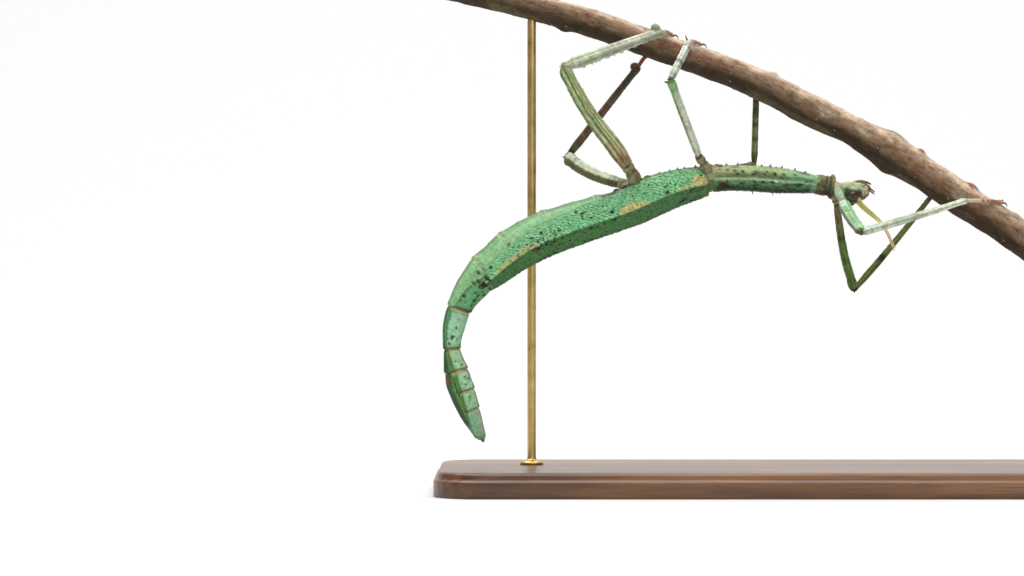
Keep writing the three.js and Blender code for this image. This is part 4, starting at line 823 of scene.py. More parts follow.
def build_eye(side):
    shape = Shape()
    out = unit(HEAD_L * side * 0.8 + HEAD_D * 0.6)
    x = unit(HEAD_F - out * np.dot(HEAD_F, out))
    y = np.cross(out, x)
    centre = head_point(EYE["along"], side * EYE["out"], EYE["up"])
    a = np.linspace(0.03, np.pi - 0.03, 64)
    b = np.arange(96) / 96 * 2 * np.pi
    A, B = np.meshgrid(a, b, indexing="ij")
    r = EYE["radius"]
    facets, _, own = cells(A * 14 / 0.9, B * 12 / 0.9, 2, 0.25)
    k = 1 + 0.006 * (1 - facets)
    P = centre + out * (np.cos(A) * EYE["depth"] * k)[..., None] + x * (np.sin(A) * np.cos(B) * r * k)[..., None] + y * (np.sin(A) * np.sin(B) * r * k)[..., None]
    col = np.ones(P.shape) * rgb(58, 36, 38)
    stripe = noise(np.stack([np.cos(A) * 3, np.sin(A) * np.sin(B + 0.4) * 7, A * 0], -1), 1.0, 6, 2)
    col = blend(col, rgb(104, 74, 72), 0.5 * step(stripe, -0.2, 0.6) * (1 - step(A, 0.7, 1.2)))
    # a paler grey-pink halo on the eye's rear edge: painted highlight
    col = blend(col, rgb(120, 98, 98), 0.35 * step(-np.cos(B - 0.4) * np.sin(A), 0.1, 0.8))
    col = blend(col, rgb(46, 32, 32), 0.85 * step(A, 1.15, 1.45))
    col = blend(col, rgb(48, 22, 28), 0.9 * bump(np.hypot(A * np.cos(B) - 0.1, A * np.sin(B)), 0, 0.34))
    shape.rings(P, col * (1 + 0.06 * (own - 0.5))[..., None], 0.12)
    return shape


# ================================================================ wings
TEGMEN_MARKS = [
    (27.6, .23, .24, .05, "dark"), (32.9, .35, .2, .03, "dark"), (33.8, .29, .18, .03, "dark"), (35.0, .455, .5, .035, "dark"),
    (34.9, .34, .3, .03, "olive"), (37.9, .16, .18, .03, "dark"), (41.7, .24, .16, .03, "dark"), (30.8, .2, .15, .02, "teal"),
    (36.4, .22, .16, .02, "teal"), (39.3, .3, .16, .025, "teal")]
HINDWING_MARKS = [
    (61.4, .26, .36, .06, "dark"), (62.8, .43, .3, .04, "brown"), (63.7, .23, .24, .05, "dark"), (63.4, .62, .5, .07, "brown"),
    (61.3, .62, .4, .06, "dark"), (59.4, .64, .4, .07, "brown"), (57.5, .6, .34, .05, "brown"), (57.8, .39, .5, .035, "brown"),
    (52.2, .2, .7, .03, "brown"), (53.5, .1, .3, .05, "dark"), (50.9, .38, .3, .03, "brown"), (52.6, .28, .2, .08, "brown"),
    (46.6, .4, .36, .05, "dark"), (46.2, .33, .2, .03, "teal"), (46.5, .6, .3, .06, "dark"), (51.5, .65, .42, .06, "dark"),
    (50.1, .68, .26, .05, "dark"), (48.6, .66, .22, .05, "dark"), (53.1, .74, .26, .05, "brown"), (60.2, .72, .3, .05, "dark"),
    (62.2, .56, .24, .04, "brown"), (64.4, .6, .2, .04, "brown"), (65.2, .33, .16, .03, "dark"), (66.8, .2, .15, .05, "brown"),
    (76.1, .27, .5, .3, "brown"), (77.6, .5, .6, .5, "brown"), (73.9, .12, .4, .1, "brown"), (55.6, .3, .16, .03, "dark"),
    (48.0, .2, .16, .04, "teal"), (44.2, .62, .3, .05, "dark"), (56.2, .85, .2, .04, "dark"), (58.6, .9, .2, .04, "dark")]


def wing_shape(kind, side):
    """A thin folded wing: outer face with raised net of veins, then the plain inner face back to the start."""
    shape = Shape()
    s0, s1, rings = (26.2, 45.3, 300) if kind == "tegmen" else (30.0, 78.6, 660)
    marks = TEGMEN_MARKS if kind == "tegmen" else HINDWING_MARKS
    outer, inner = 120, 14
    s = lerp(s0, s1, np.linspace(0, 1, rings))
    p = np.concatenate([np.linspace(0, 0.47, 62), np.linspace(0.475, 0.525, 9), np.linspace(0.53, 1, outer - 71)])
    S, Pp = np.meshgrid(s, p, indexing="ij")
    lap = 0.34 if side > 0 else -0.05
    l, d = wing_ld(kind, 1, S, Pp, lap)
    w, ridge = stations(WING_BOX, S)
    low = np.minimum(stations(TEGMEN_EDGE if kind == "tegmen" else HINDWING_EDGE, S)[0], ridge - 0.35)
    q = clamp(Pp / 0.5)
    hug = (1 - q) ** 2.6
    l = l - 0.42 * hug * (Pp < 0.5)
    if kind == "hindwing":
        # under the tegmen: the side panel and the covered part of the back lie deeper
        under = 1 - step(S, 43.6, 45.6)
        l = l - 0.5 * under * (Pp < 0.525)
        covered = np.maximum(step(l, stations(TEGMEN_INNER, S)[0] - 0.45, stations(TEGMEN_INNER, S)[0] - 0.1), 1 - step(S, 32.6, 33.4))
        d = d - 0.5 * under * covered
    # the wing's last part draws in against the body
    draw = step(S, 72.5, 79.0) ** 1.6 * (kind == "hindwing")
    d = d - 0.95 * draw * q
    l = l - 0.25 * draw * step(Pp, 0.3, 0.5)
    # surface distances in millimetres: u along the wing, v up its folded width
    deep = np.maximum(ridge - low, 0.3)
    v = np.where(Pp < 0.5, (Pp / 0.5) * deep, deep + (Pp - 0.5) / 0.5 * w)
    rise = np.where(Pp < 0.5, v - deep, v - deep)
    P0 = body_point(S, l, d)
    n1 = noise(np.stack([S, rise, np.zeros_like(S)], -1), 1.7, 90 + side, 2)
    n2 = noise(np.stack([S, rise, np.zeros_like(S)], -1), 0.5, 93 + side, 2)
    # wavy ridges drawn across the wing and leaning back, running together here and there; rounder and finer on the back panel
    flat3 = np.stack([S, rise, np.zeros_like(S)], -1)
    m1, m2 = noise(flat3, 1.0, 97 + side, 1), noise(flat3, 0.42, 98 + side, 1)
    turn = 0.60 * S + 0.80 * rise
    cross = -0.80 * S + 0.60 * rise
    wave = np.cos(2 * np.pi * (turn / 0.64 + 0.7 * m1 + 0.32 * m2))
    f1, f2, own = cells((turn + 0.25 * m1) / 0.6 + 3 * side, cross / 0.95, 5, 0.8)
    ridge_k = clamp(0.5 + 0.5 * wave + 0.35 * m2)
    link = (1 - step(f2 - f1, 0.04, 0.24))
    net_side = clamp(0.72 * ridge_k + 0.42 * link)
    g1, g2, own2 = cells((S + 0.3 * rise) / 0.46, rise / 0.42, 6, 0.8)
    net_back = 1 - step(g2 - g1, 0.05, 0.3)
    onback = step(Pp, 0.5, 0.53)
    net = lerp(net_side, net_back, onback)
    body = lerp(f1, g1, onback)
    # a few long veins run the length of the wing
    long_veins = sum(bump(rise, r0 + 0.25 * n1, 0.09) for r0 in (-0.55, -1.7, -3.0, 0.8, 1.9, 2.7))
    out = 0.12 * net - 0.05 * (1 - net) + 0.05 * clamp(long_veins) + 0.04 * n1
    out = out * lerp(1.0, 0.6, onback)
    out += 0.09 * bump(Pp, 0.5, 0.022)
    knob = bump(S, 28.0, 1.0) * bump(Pp, 0.34, 0.16) if kind == "tegmen" else 0
    out = out + 0.32 * knob
    if kind == "tegmen":
        lobes = np.abs(np.sin((S - 39.4) * np.pi / 0.78)) ** 0.7
        out += 0.14 * lobes * bump(Pp, 0.45, 0.045) * step(S, 38.8, 39.8)
        out += 0.08 * bump(np.hypot((S - 28.6) / 1.3, (Pp - 0.68) / 0.14), 1.0, 0.22) * onback
    rim = np.minimum(1, np.minimum(step(Pp, 0, 0.05), np.minimum(step(S, s0, s0 + 0.5), 1 - step(S, s1 - 0.5, s1))))
    out = out * (0.3 + 0.7 * rim)
    nl = np.where(Pp < 0.475, 1.0, np.where(Pp > 0.525, 0.0, np.cos((Pp - 0.475) / 0.05 * np.pi / 2)))
    nd = np.where(Pp < 0.475, 0.0, np.where(Pp > 0.525, 1.0, np.sin((Pp - 0.475) / 0.05 * np.pi / 2)))
    lo, do = l + nl * out, d + nd * (out + (0.12 if side > 0 else 0.0) * step(Pp, 0.85, 1.0))
    P_out = body_point(S, side * lo, do)

    # ---- colour
    base = np.ones(S.shape + (3,)) * rgb(110, 180, 124)
    base = blend(base, rgb(88, 158, 108), 0.6 * step(n1, 0, 0.6))
    base = blend(base, rgb(128, 188, 134), 0.6 * (1 - step(n1, -0.6, -0.1)))
    base = base * (1 + 0.2 * (own - 0.5))[..., None]
    # pale veins and dark pits: partly the net's own pattern, partly painted highlight on the raised veins and painted
    # shade in the pits between them
    base = blend(base, rgb(160, 212, 162), 0.8 * step(net_side, 0.45, 0.95))
    base = blend(base, rgb(58, 122, 80), 0.75 * (1 - step(net_side, 0.02, 0.28)))
    base = blend(base, rgb(34, 56, 34), 0.8 * (1 - step(net_side, 0.0, 0.2)) * (own > 0.72))
    base = blend(base, rgb(150, 160, 104), 0.4 * step(n1, 0.35, 0.7) * (kind == "hindwing"))
    backc = np.ones(S.shape + (3,)) * rgb(72, 126, 74)
    backc = blend(backc, rgb(86, 140, 84), 0.6 * step(n1, -0.1, 0.6))
    # the same on the back panel: a paler net and darker cell middles, partly painted highlight and painted shade
    backc = blend(backc, rgb(108, 160, 104), 0.5 * net_back)
    backc = blend(backc, rgb(40, 74, 44), 0.6 * (1 - step(g1, 0.1, 0.4)))
    backc = blend(backc, rgb(46, 76, 44), 0.5 * step(n2, 0.1, 0.6))
    specks, _, speck_own = cells(S / 0.7 + 5, rise / 0.6, 19, 0.95)
    backc = blend(backc, rgb(54, 38, 26), 0.85 * (1 - step(specks, 0.14, 0.36)) * (speck_own > np.where(rise < 0.9, 0.42, 0.7)))
    backc = blend(backc, rgb(70, 52, 34), 0.6 * bump(Pp, 0.56, 0.05) * step(n1, -0.2, 0.4))
    col = blend(base, backc, onback)
    wob = n2
    if kind == "tegmen":
        front = np.hypot((S - 27.6) / 1.9, (Pp - 0.40) / 0.2)
        cream = 1 - step(front + 0.25 * n2, 0.75, 1.1)
        stripe = bump(Pp, 0.475 + 0.012 * n2, 0.03) * (1 - step(S, 31.6, 33.4))
        rear = step(Pp, lerp(0.46, 0.30, step(S, 38.6, 43.8)), lerp(0.50, 0.36, step(S, 38.6, 43.8))) * step(S, 38.2, 40.2) * (Pp < 0.52)
        rear = np.maximum(rear, step(S, 44.1, 44.8) * step(Pp, 0.12, 0.3) * (Pp < 0.52))
        c = blend(np.ones_like(col) * rgb(208, 198, 134), rgb(150, 136, 84), step(n2, 0.0, 0.5) * 0.7)
        c = blend(c, rgb(110, 84, 46), 0.5 * (1 - step(net_side, 0.1, 0.4)))
        col = blend(col, c, np.maximum(np.maximum(cream * (Pp < 0.55), stripe * 0.9), rear * 0.95))
        lobes = np.abs(np.sin((S - 39.4) * np.pi / 0.78))
        col = blend(col, rgb(150, 108, 60), 0.7 * (lobes < 0.4) * bump(Pp, 0.455, 0.035) * step(S, 39, 40))
        col = blend(col, BROWN, 0.75 * bump(Pp, 0.515, 0.013) * step(n1, -0.7, 0.2))
        ring = np.hypot((S - 28.7) / 1.5, (Pp - 0.68) / 0.15)
        curl = bump(ring, 0.95, 0.12) + bump(ring, 0.5, 0.10)
        col = blend(col, rgb(26, 36, 22), 0.9 * curl * onback * step(n1, -0.9, -0.1))
        col = blend(col, rgb(52, 40, 28), 0.8 * (bump(np.hypot((S - 30.4) / .42, (Pp - .74) / .06), 0, 1) + bump(np.hypot((S - 32.8) / .5, (Pp - .8) / .07), 0, 1)))
        col = blend(col, rgb(78, 66, 40), 0.7 * (1 - step(S, 26.3, 27.0)))
    else:
        stripe = step(bump(Pp, 0.44 + 0.03 * n1, 0.075) + 0.35 * n2 + 0.25 * np.sin(S * 5.2) * (Pp < 0.47), 0.35, 0.6) * step(S, 62.6, 64.2) * (1 - step(S, 73.6, 74.8)) * (Pp < 0.52)
        col = blend(col, blend(np.ones_like(col) * rgb(188, 184, 120), rgb(126, 128, 72), step(n2, 0.1, 0.5)), 0.85 * stripe)
        col = blend(col, rgb(64, 116, 78), 0.55 * bump(Pp, 0.512, 0.010))
        col = blend(col, rgb(60, 56, 32), 0.7 * step(S + 0.9 * n1 + 0.5 * n2, 76.4, 78.0))
        blot, _, blot_own = cells(S / 0.72, rise / 0.6 + 3, 29, 0.95)
        near_ridge = np.exp(-((rise + 0.2) / 1.25) ** 2) * step(S, 56.5, 59) * (1 - step(S, 64.5, 66.5))
        col = blend(col, rgb(44, 34, 20), 0.9 * near_ridge * (1 - step(blot, 0.24, 0.5)) * (blot_own > 0.36))
        col = blend(col, rgb(150, 200, 150), 0.45 * bump(S, 60.0 + 0.5 * n1, 0.22) * (Pp < 0.5))
    col = spotted(col, S, Pp, 1.0, marks if side > 0 else [(a + 0.45 * math.sin(7 * a), b, c, e, k) for a, b, c, e, k in marks], wob)
    # a thin dark line along the wing's lower free edge: painted shadow where the wing meets the body's side
    col = blend(col, rgb(60, 100, 64), 0.75 * (1 - step(Pp, 0.0, 0.03)) * (Pp < 0.5))
    small, _, small_own = cells(S / 1.15, rise / 0.9 + 7 * side, 23, 0.95)
    col = blend(col, rgb(48, 36, 24), 0.8 * (1 - step(small, 0.07, 0.2)) * (small_own > 0.7) * (Pp < 0.5))
    col = blend(col, BROWN, 0.5 * step(Pp, 0.975, 1.0))
    R_out = 0.4 + 0.12 * net + 0.06 * n1

    # inner face
    pin = np.linspace(1, 0, inner)
    S2, P2 = np.meshgrid(s, pin, indexing="ij")
    l2, d2 = wing_ld(kind, 1, S2, P2, lap)
    q2 = clamp(P2 / 0.5)
    l2 = l2 - 0.42 * (1 - q2) ** 2.6 * (P2 < 0.5)
    if kind == "hindwing":
        under2 = 1 - step(S2, 43.6, 45.6)
        l2 = l2 - 0.5 * under2 * (P2 < 0.525)
        covered2 = np.maximum(step(l2, stations(TEGMEN_INNER, S2)[0] - 0.45, stations(TEGMEN_INNER, S2)[0] - 0.1), 1 - step(S2, 32.6, 33.4))
        d2 = d2 - 0.5 * under2 * covered2
    draw2 = step(S2, 72.5, 79.0) ** 1.6 * (kind == "hindwing")
    d2 = d2 - 0.95 * draw2 * q2
    l2 = l2 - 0.25 * draw2 * step(P2, 0.3, 0.5)
    thick = 0.34 * (0.35 + 0.65 * step(P2, 0, 0.12) * (1 - step(P2, 0.94, 1.0)))
    l2 = np.where(P2 < 0.5, l2 - thick, np.minimum(l2, stations(WING_BOX, S2)[0] - thick - 0.1))
    d2 = np.where(P2 > 0.5, d2 - thick, np.minimum(d2, stations(WING_BOX, S2)[1] - thick))
    d2 = d2 + (0.12 if side > 0 else 0.0) * step(P2, 0.85, 1.0)
    P_in = body_point(S2, side * l2, d2)
    col_in = np.broadcast_to(rgb(120, 170, 128), P_in.shape)
    shape.rings(np.concatenate([P_out, P_in], axis=1), np.concatenate([col, col_in], axis=1), np.concatenate([R_out, np.full(S2.shape, 0.5)], axis=1))
    return shape


# ================================================================ legs
PERCH_PATH = spline([p[:3] for p in PERCH], 3000)
PERCH_RADII = [(p[0], p[3]) for p in PERCH]
_perch_dense = PERCH_PATH.p


def nearest(point):
    d = np.linalg.norm(_perch_dense - point, axis=1)
    k = int(np.argmin(d))
    return _perch_dense[k], d[k], stations(PERCH_RADII, _perch_dense[k][0])[0]


def on_bark(point, clear):
    p, far, r = nearest(point)
    return p + (point - p) * ((r + clear) / far)


# Each leg's colours: the two main ones along it, the tint of its lit upper edge, its bands, and how strong they are.
LEG_TINTS = {
    "foreleg_left": dict(femur=(rgb(152, 200, 160), rgb(156, 206, 152)), tibia=(rgb(212, 222, 202), rgb(228, 232, 212)), edge=rgb(96, 140, 82), band=rgb(126, 142, 130), bands=.5, joint=rgb(84, 84, 48), tarsus=(rgb(214, 196, 164), rgb(170, 126, 90))),
    "foreleg_right": dict(femur=(rgb(116, 100, 54), rgb(92, 124, 54)), tibia=(rgb(112, 134, 64), rgb(108, 120, 66)), edge=rgb(46, 60, 24), band=rgb(28, 30, 16), bands=1.0, joint=rgb(40, 36, 22), tarsus=(rgb(140, 110, 70), rgb(120, 86, 56))),
    "midleg_left": dict(femur=(rgb(206, 214, 192), rgb(158, 184, 138)), tibia=(rgb(200, 212, 194), rgb(232, 236, 226)), edge=rgb(104, 116, 78), band=rgb(84, 94, 72), bands=.8, joint=rgb(86, 100, 58), tarsus=(rgb(200, 168, 144), rgb(176, 146, 122))),
    "midleg_right": dict(femur=(rgb(128, 124, 80), rgb(132, 132, 86)), tibia=(rgb(142, 148, 94), rgb(124, 132, 88)), edge=rgb(80, 72, 42), band=rgb(60, 50, 32), bands=.8, joint=rgb(116, 90, 64), tarsus=(rgb(160, 116, 76), rgb(130, 88, 56))),
    "hindleg_left": dict(femur=(rgb(186, 182, 134), rgb(166, 186, 126)), tibia=(rgb(216, 224, 196), rgb(234, 234, 214)), edge=rgb(74, 88, 46), band=rgb(116, 126, 100), bands=.4, joint=rgb(128, 148, 100), tarsus=(rgb(206, 180, 158), rgb(176, 146, 120))),
    "hindleg_right": dict(femur=(rgb(134, 138, 92), rgb(112, 108, 60)), tibia=(rgb(96, 78, 56), rgb(106, 88, 72)), edge=rgb(48, 42, 26), band=rgb(38, 32, 24), bands=.7, joint=rgb(66, 88, 50), tarsus=(rgb(140, 68, 48), rgb(140, 78, 54))),
}


def leg_geometry(name):
    pair, hand = name.split("_")
    size, stout = dict(LIMB[pair]), STOUTNESS[hand]
    if name == "foreleg_left":
        size.update(femur=(1.16, 1.0), tibia=(.98, .58))
    elif name == "hindleg_left":
        size.update(femur=(1.62, 1.14), tibia=(1.34, .84))
    elif name == "midleg_left":
        size.update(femur=(.92, .98), tibia=(.84, .74))
    joints, foot = LEGS[name]
    root, hip, knee, ankle = (np.array(p, float) for p in joints)
    thigh, shin = unit(knee - hip), unit(ankle - knee)
    bend = unit(shin - thigh * np.dot(shin, thigh))
    outer = unit((knee - hip) - shin * np.dot(shin, knee - hip))
    hook = {"hindleg_right": -0.32, "hindleg_left": -0.05}.get(name, size["hook"])
    bow = size["bow"] * (0.6 if name == "foreleg_left" else 1.0)
    femur = spline([hip, lerp(hip, knee, .14) + bend * hook, lerp(hip, knee, .58) - bend * bow, knee])
    mid = lerp(knee, ankle, .5) + outer * size["arch"] * 2
    t = np.linspace(0, 1, 400)[:, None]
    tibia = Path((1 - t) ** 2 * knee + 2 * t * (1 - t) * mid + t ** 2 * ankle)
    instep = on_bark(np.array(foot[0], float), size["tarsus"] + GAP * 0.4 + 0.2)
    toe = on_bark(np.array(foot[1], float), size["tarsus"] + GAP * 0.4)
    return dict(pair=pair, hand=hand, size=size, stout=stout, root=root, hip=hip, knee=knee, ankle=ankle, thigh=thigh, shin=shin,
                bend=bend, outer=outer, femur=femur, tibia=tibia, foot=spline([ankle, instep, toe]), instep=instep, toe=toe)


def keeled(A, count, sharp, depth, turn=0.0):
    """Lengthwise keels round a limb: raised edges with shallow flutes between."""
    k = np.abs(np.cos((A - turn) * count / 2)) ** sharp
    return 1 + depth * (k - 0.62)


def skin_leg(shape, name, seed):
    g = leg_geometry(name)
    size, stout, tint = g["size"], g["stout"], LEG_TINTS[name]
    bend = g["bend"]
    hind = g["pair"] == "hindleg"
    mid_left = name == "midleg_left"

    # ---- coxa and trochanter: short rough cones
    inward = np.array([0.0, 1.0, 0.0]) * (1 if g["hand"] == "left" else -1)
    sink = {"foreleg": 0.0, "midleg": 1.5, "hindleg": 2.0}[g["pair"]]
    coxa = spline([g["root"] + inward * sink, lerp(g["root"], g["hip"], 0.5) + inward * sink * 0.45, g["hip"]], 300)

    def coxa_radius(t, a):
        r = size["coxa"] * (1.1 - 0.3 * t) * (1 + 0.10 * bump(t, 0.15, 0.09) - 0.13 * bump(t, 0.3, 0.06) + 0.10 * bump(t, 0.52, 0.12) - 0.12 * bump(t, 0.74, 0.05) + 0.12 * bump(t, 0.88, 0.08))
        rough = 1 + 0.07 * noise(np.stack([t * 6, np.cos(a) * 1.6, np.sin(a) * 1.6], -1), 0.55, seed + 4, 3)
        return r * rough, r * 0.9 * rough

    def coxa_colour(t, a, P):
        n = noise(P, 0.7, seed + 5, 2)
        main = rgb(170, 202, 172) if name == "foreleg_left" else rgb(142, 138, 104)
        c = np.ones(P.shape) * main
        c = blend(c, rgb(142, 134, 104), 0.8 * step(n, 0.1, 0.6))
        deep = 0.35 if name == "foreleg_left" else 0.8
        c = blend(c, BROWN, deep * (1 - step(n, -0.5, 0.0)))
        c = blend(c, BROWN_DARK, deep * 0.8 * (bump(t, 0.31, 0.05) + bump(t, 0.75, 0.045)))
        if name == "foreleg_left":
            c = blend(c, rgb(188, 176, 132), 0.85 * (1 - step(t + 0.1 * n, 0.12, 0.4)))
        c = blend(c, rgb(150, 132, 84), (0.8 if name == "foreleg_left" else 0.4) * bump(t, 0.92, 0.1) * step(noise(P, 1.4, seed + 9, 1), -0.3, 0.3))
        return c * (1 + 0.18 * noise(P, 0.22, seed + 7, 1))[..., None]

    tube(shape, coxa, coxa_radius, bend, 28, 20, coxa_colour, 0.55)
    # trochanter: the small ring between coxa and femur
    blob(shape, g["hip"], (size["coxa"] * 0.78, size["coxa"] * 0.78, size["coxa"] * 0.72), (g["thigh"], bend, np.cross(g["thigh"], bend)),
         rgb(132, 150, 108) if name == "foreleg_left" else rgb(92, 70, 48), rings=12, sides=18, rough=0.1, seed=seed + 2)

    # ---- femur
    w0, w1 = size["femur"]

    def femur_radius(t, a):
        w = stout * lerp(w0, w1, t) * (0.8 + 0.2 * step(t, 0, 0.14)) * (1 - 0.12 * step(t, 0.94, 1))
        w = w * (1 + 0.07 * bump(t, 0.93, 0.05) - 0.05 * bump(t, 0.865, 0.03)) * lerp(1, 0.72, step(t, 0.972, 1.0))
        k = keeled(a, 6, 0.9, 0.24, 0.5)
        teeth = np.maximum(0, np.cos(t * 2 * np.pi * (17 if hind else 13) + 1.3 * np.sin(9 * t))) ** 10
        k = k + 0.09 * teeth * (np.cos(a - np.pi) > 0.8) * step(t, 0.1, 0.2) + 0.05 * teeth * (np.cos(a) > 0.86) * step(t, 0.2, 0.3)
        k = k + 0.045 * noise(np.stack([t * 22, np.cos(a), np.sin(a)], -1), 0.7, seed, 2) + 0.05 * noise(np.stack([t * 9, np.cos(a), np.sin(a)], -1), 1.0, seed + 44, 1)
        return w * k, w * size["flat"] * k

    def femur_colour(t, a, P):
        n, m = noise(P, (1.8, 1.8, 1.8), seed + 11, 2), noise(P, 0.4, seed + 12, 2)
        c = lerp(tint["femur"][0], tint["femur"][1], step(t, 0.05, 0.6)[..., None])
        stripes = 0.5 + 0.5 * np.cos((a - 0.5) * 6 + 0.4 * n)
        c = blend(c, tint["edge"], 0.9 * (1 - step(stripes, 0.05, 0.3)) * step(m, -1.0, -0.3))
        fine = np.cos((a + 0.05 * n) * 11)
        c = blend(c, rgb(70, 78, 40), (0.8 if hind else 0.4) * step(fine, 0.35, 0.9) * step(n, -0.7, 0.0))
        c = blend(c, rgb(224, 222, 184), (0.7 if "right" not in name else 0.2) * step(-fine, 0.3, 0.9) * step(noise(P, (1.2, 1.2, 1.2), seed + 14, 1), -0.4, 0.3))
        if hind and g["hand"] == "left":
            c = blend(c, rgb(76, 104, 58), 0.75 * bump(np.mod(a + 0.2, 2 * np.pi), 3.0, 0.4))
            c = blend(c, rgb(128, 78, 54), 0.8 * (1 - step(t, 0.04, 0.24)) * step(n, -0.5, 0.1))
            c = blend(c, rgb(166, 140, 104), 0.5 * step(n, 0.15, 0.5))
        if name == "hindleg_right":
            lift = ((P - g["femur"].at(t)) @ unit(np.array([0.05, -0.3, 1.0]))) / (stout * lerp(w0, w1, t))
            c = blend(c, rgb(102, 88, 48), 0.85 * (1 - step(lift, 0.0, 0.3)))
            # the side facing world-up is painted pale: partly the femur's pale colour, partly a painted highlight along
            # its upper edge
            c = blend(c, rgb(206, 214, 184), 0.95 * step(lift + 0.1 * m, 0.36, 0.52))
            c = blend(c, rgb(78, 112, 52), 0.85 * (1 - step(lift + 0.1 * m, -0.62, -0.4)) + 0.85 * step(t, 0.8, 0.93) * (1 - step(lift, 0.2, 0.4)))
        if mid_left:
            side_l = ((P - g["femur"].at(t)) @ np.array([-1.0, 0, 0])) / (stout * lerp(w0, w1, t))
            c = blend(c, rgb(216, 224, 206), 0.6 * (1 - step(side_l, 0.0, 0.5)) * (1 - step(t, 0.75, 0.95)))
            c = blend(c, rgb(138, 122, 74), 0.8 * step(side_l, 0.3, 0.62) * step(noise(P, 1.6, 77, 1), -0.5, 0.1))
            c = blend(c, rgb(104, 96, 60), 0.6 * step(noise(P, (0.7, 0.7, 1.6), 79, 2), 0.15, 0.4) * step(side_l, -0.4, 0.1))
            c = blend(c, rgb(120, 166, 104), 0.6 * step(t, 0.72, 0.92))
        if name == "foreleg_left":
            c = blend(c, rgb(110, 168, 92), 0.6 * step(np.cos(a), 0.45, 0.9))
            c = blend(c, rgb(200, 222, 206), 0.7 * step(noise(P, 1.9, 58, 2), 0.0, 0.4))
            c = blend(c, rgb(92, 76, 50), 0.75 * step(-np.cos(a), 0.72, 0.95))
        c = blend(c, tint["band"], tint["bands"] * 0.7 * step(noise(np.stack([t * 9, t * 0, t * 0], -1), 1.0, seed + 3, 1), 0.15, 0.5) * step(m, -0.6, 0.1))
        c = blend(c, tint["joint"], 0.85 * step(t, 0.95, 0.99) + 0.55 * (1 - step(t, 0.0, 0.07)))
        c = blend(c, rgb(212, 214, 190), (0.32 if "right" not in name and name != "foreleg_left" else 0.0) * step(noise(P, 0.9, seed + 51, 2), 0.2, 0.55))
        c = blend(c, BROWN_DARK, 0.65 * step(m, 0.35, 0.65) * step(noise(P, 2.2, seed + 52, 1), -0.3, 0.2))
        return c * (1 + 0.16 * n + 0.16 * m)[..., None]

    tube(shape, g["femur"], femur_radius, bend, 92, 46 if name == "hindleg_left" else 27, femur_colour, 0.5, t0=0.0, t1=1.0)
    # knee: a rounded hinge with a lobe on each side
    kw = stout * w1 * 0.86
    across = np.cross(g["thigh"], bend)
    mid_dir = unit(g["thigh"] - g["shin"])
    blob(shape, g["knee"] - mid_dir * kw * 0.42, (kw * 0.78, kw * 0.72, kw * size["flat"] * 0.92), (mid_dir, np.cross(across, mid_dir), across), tint["joint"], rings=14, sides=20, rough=0.08, seed=seed + 6)
    for sgn in (1, -1):
        spine(shape, g["knee"] + mid_dir * kw * 0.3 + across * sgn * kw * 0.45, unit(mid_dir * 0.8 - g["shin"] * 0.5 + across * sgn * 0.3), 0.42, 0.16, tint["joint"], BROWN_DARK, sides=6)
    if name == "hindleg_right":
        spine(shape, g["knee"] + mid_dir * kw * 0.2, unit(np.array([-1.0, -0.2, 0.12])), 0.95, 0.42, rgb(56, 90, 48), rgb(40, 52, 34), sides=9)
    if mid_left:
        left = unit(np.array([-1.0, -0.25, 0.12]))
        p = g["femur"].at(0.955) + left * kw * 0.55
        spine(shape, p, left, 1.2, 0.5, rgb(110, 116, 70), rgb(80, 70, 40), sides=9)
        spine(shape, g["femur"].at(0.93) - left * kw * 0.6, -left, 0.5, 0.3, rgb(110, 116, 70), rgb(80, 70, 40), sides=8)

    # ---- tibia
    v0, v1 = size["tibia"]

    def tibia_radius(t, a):
        w = stout * lerp(v0, v1, t) * (0.66 + 0.34 * step(t, 0, 0.06 if name == "foreleg_left" else 0.16)) * (1 + 0.15 * step(t, 0.9, 1)) * (0.93 if hind else 1.0)
        w = w * (1 + 0.05 * bump(t, 0.965, 0.03)) * lerp(1, 0.8, step(t, 0.985, 1))
        k = keeled(a, 5, 0.9, 0.24, 0.3)
        teeth = np.maximum(0, np.cos(t * 2 * np.pi * 19 + np.sin(7 * t))) ** 12
        k = k + 0.07 * teeth * (np.cos(a - 2.6) > 0.85) * step(t, 0.12, 0.2)
        k = k + 0.04 * noise(np.stack([t * 22, np.cos(a), np.sin(a)], -1), 0.7, seed + 1, 2) + 0.04 * noise(np.stack([t * 9, np.cos(a), np.sin(a)], -1), 1.0, seed + 45, 1)
        return w * k, w * lerp(size["flat"], 0.85, t) * k

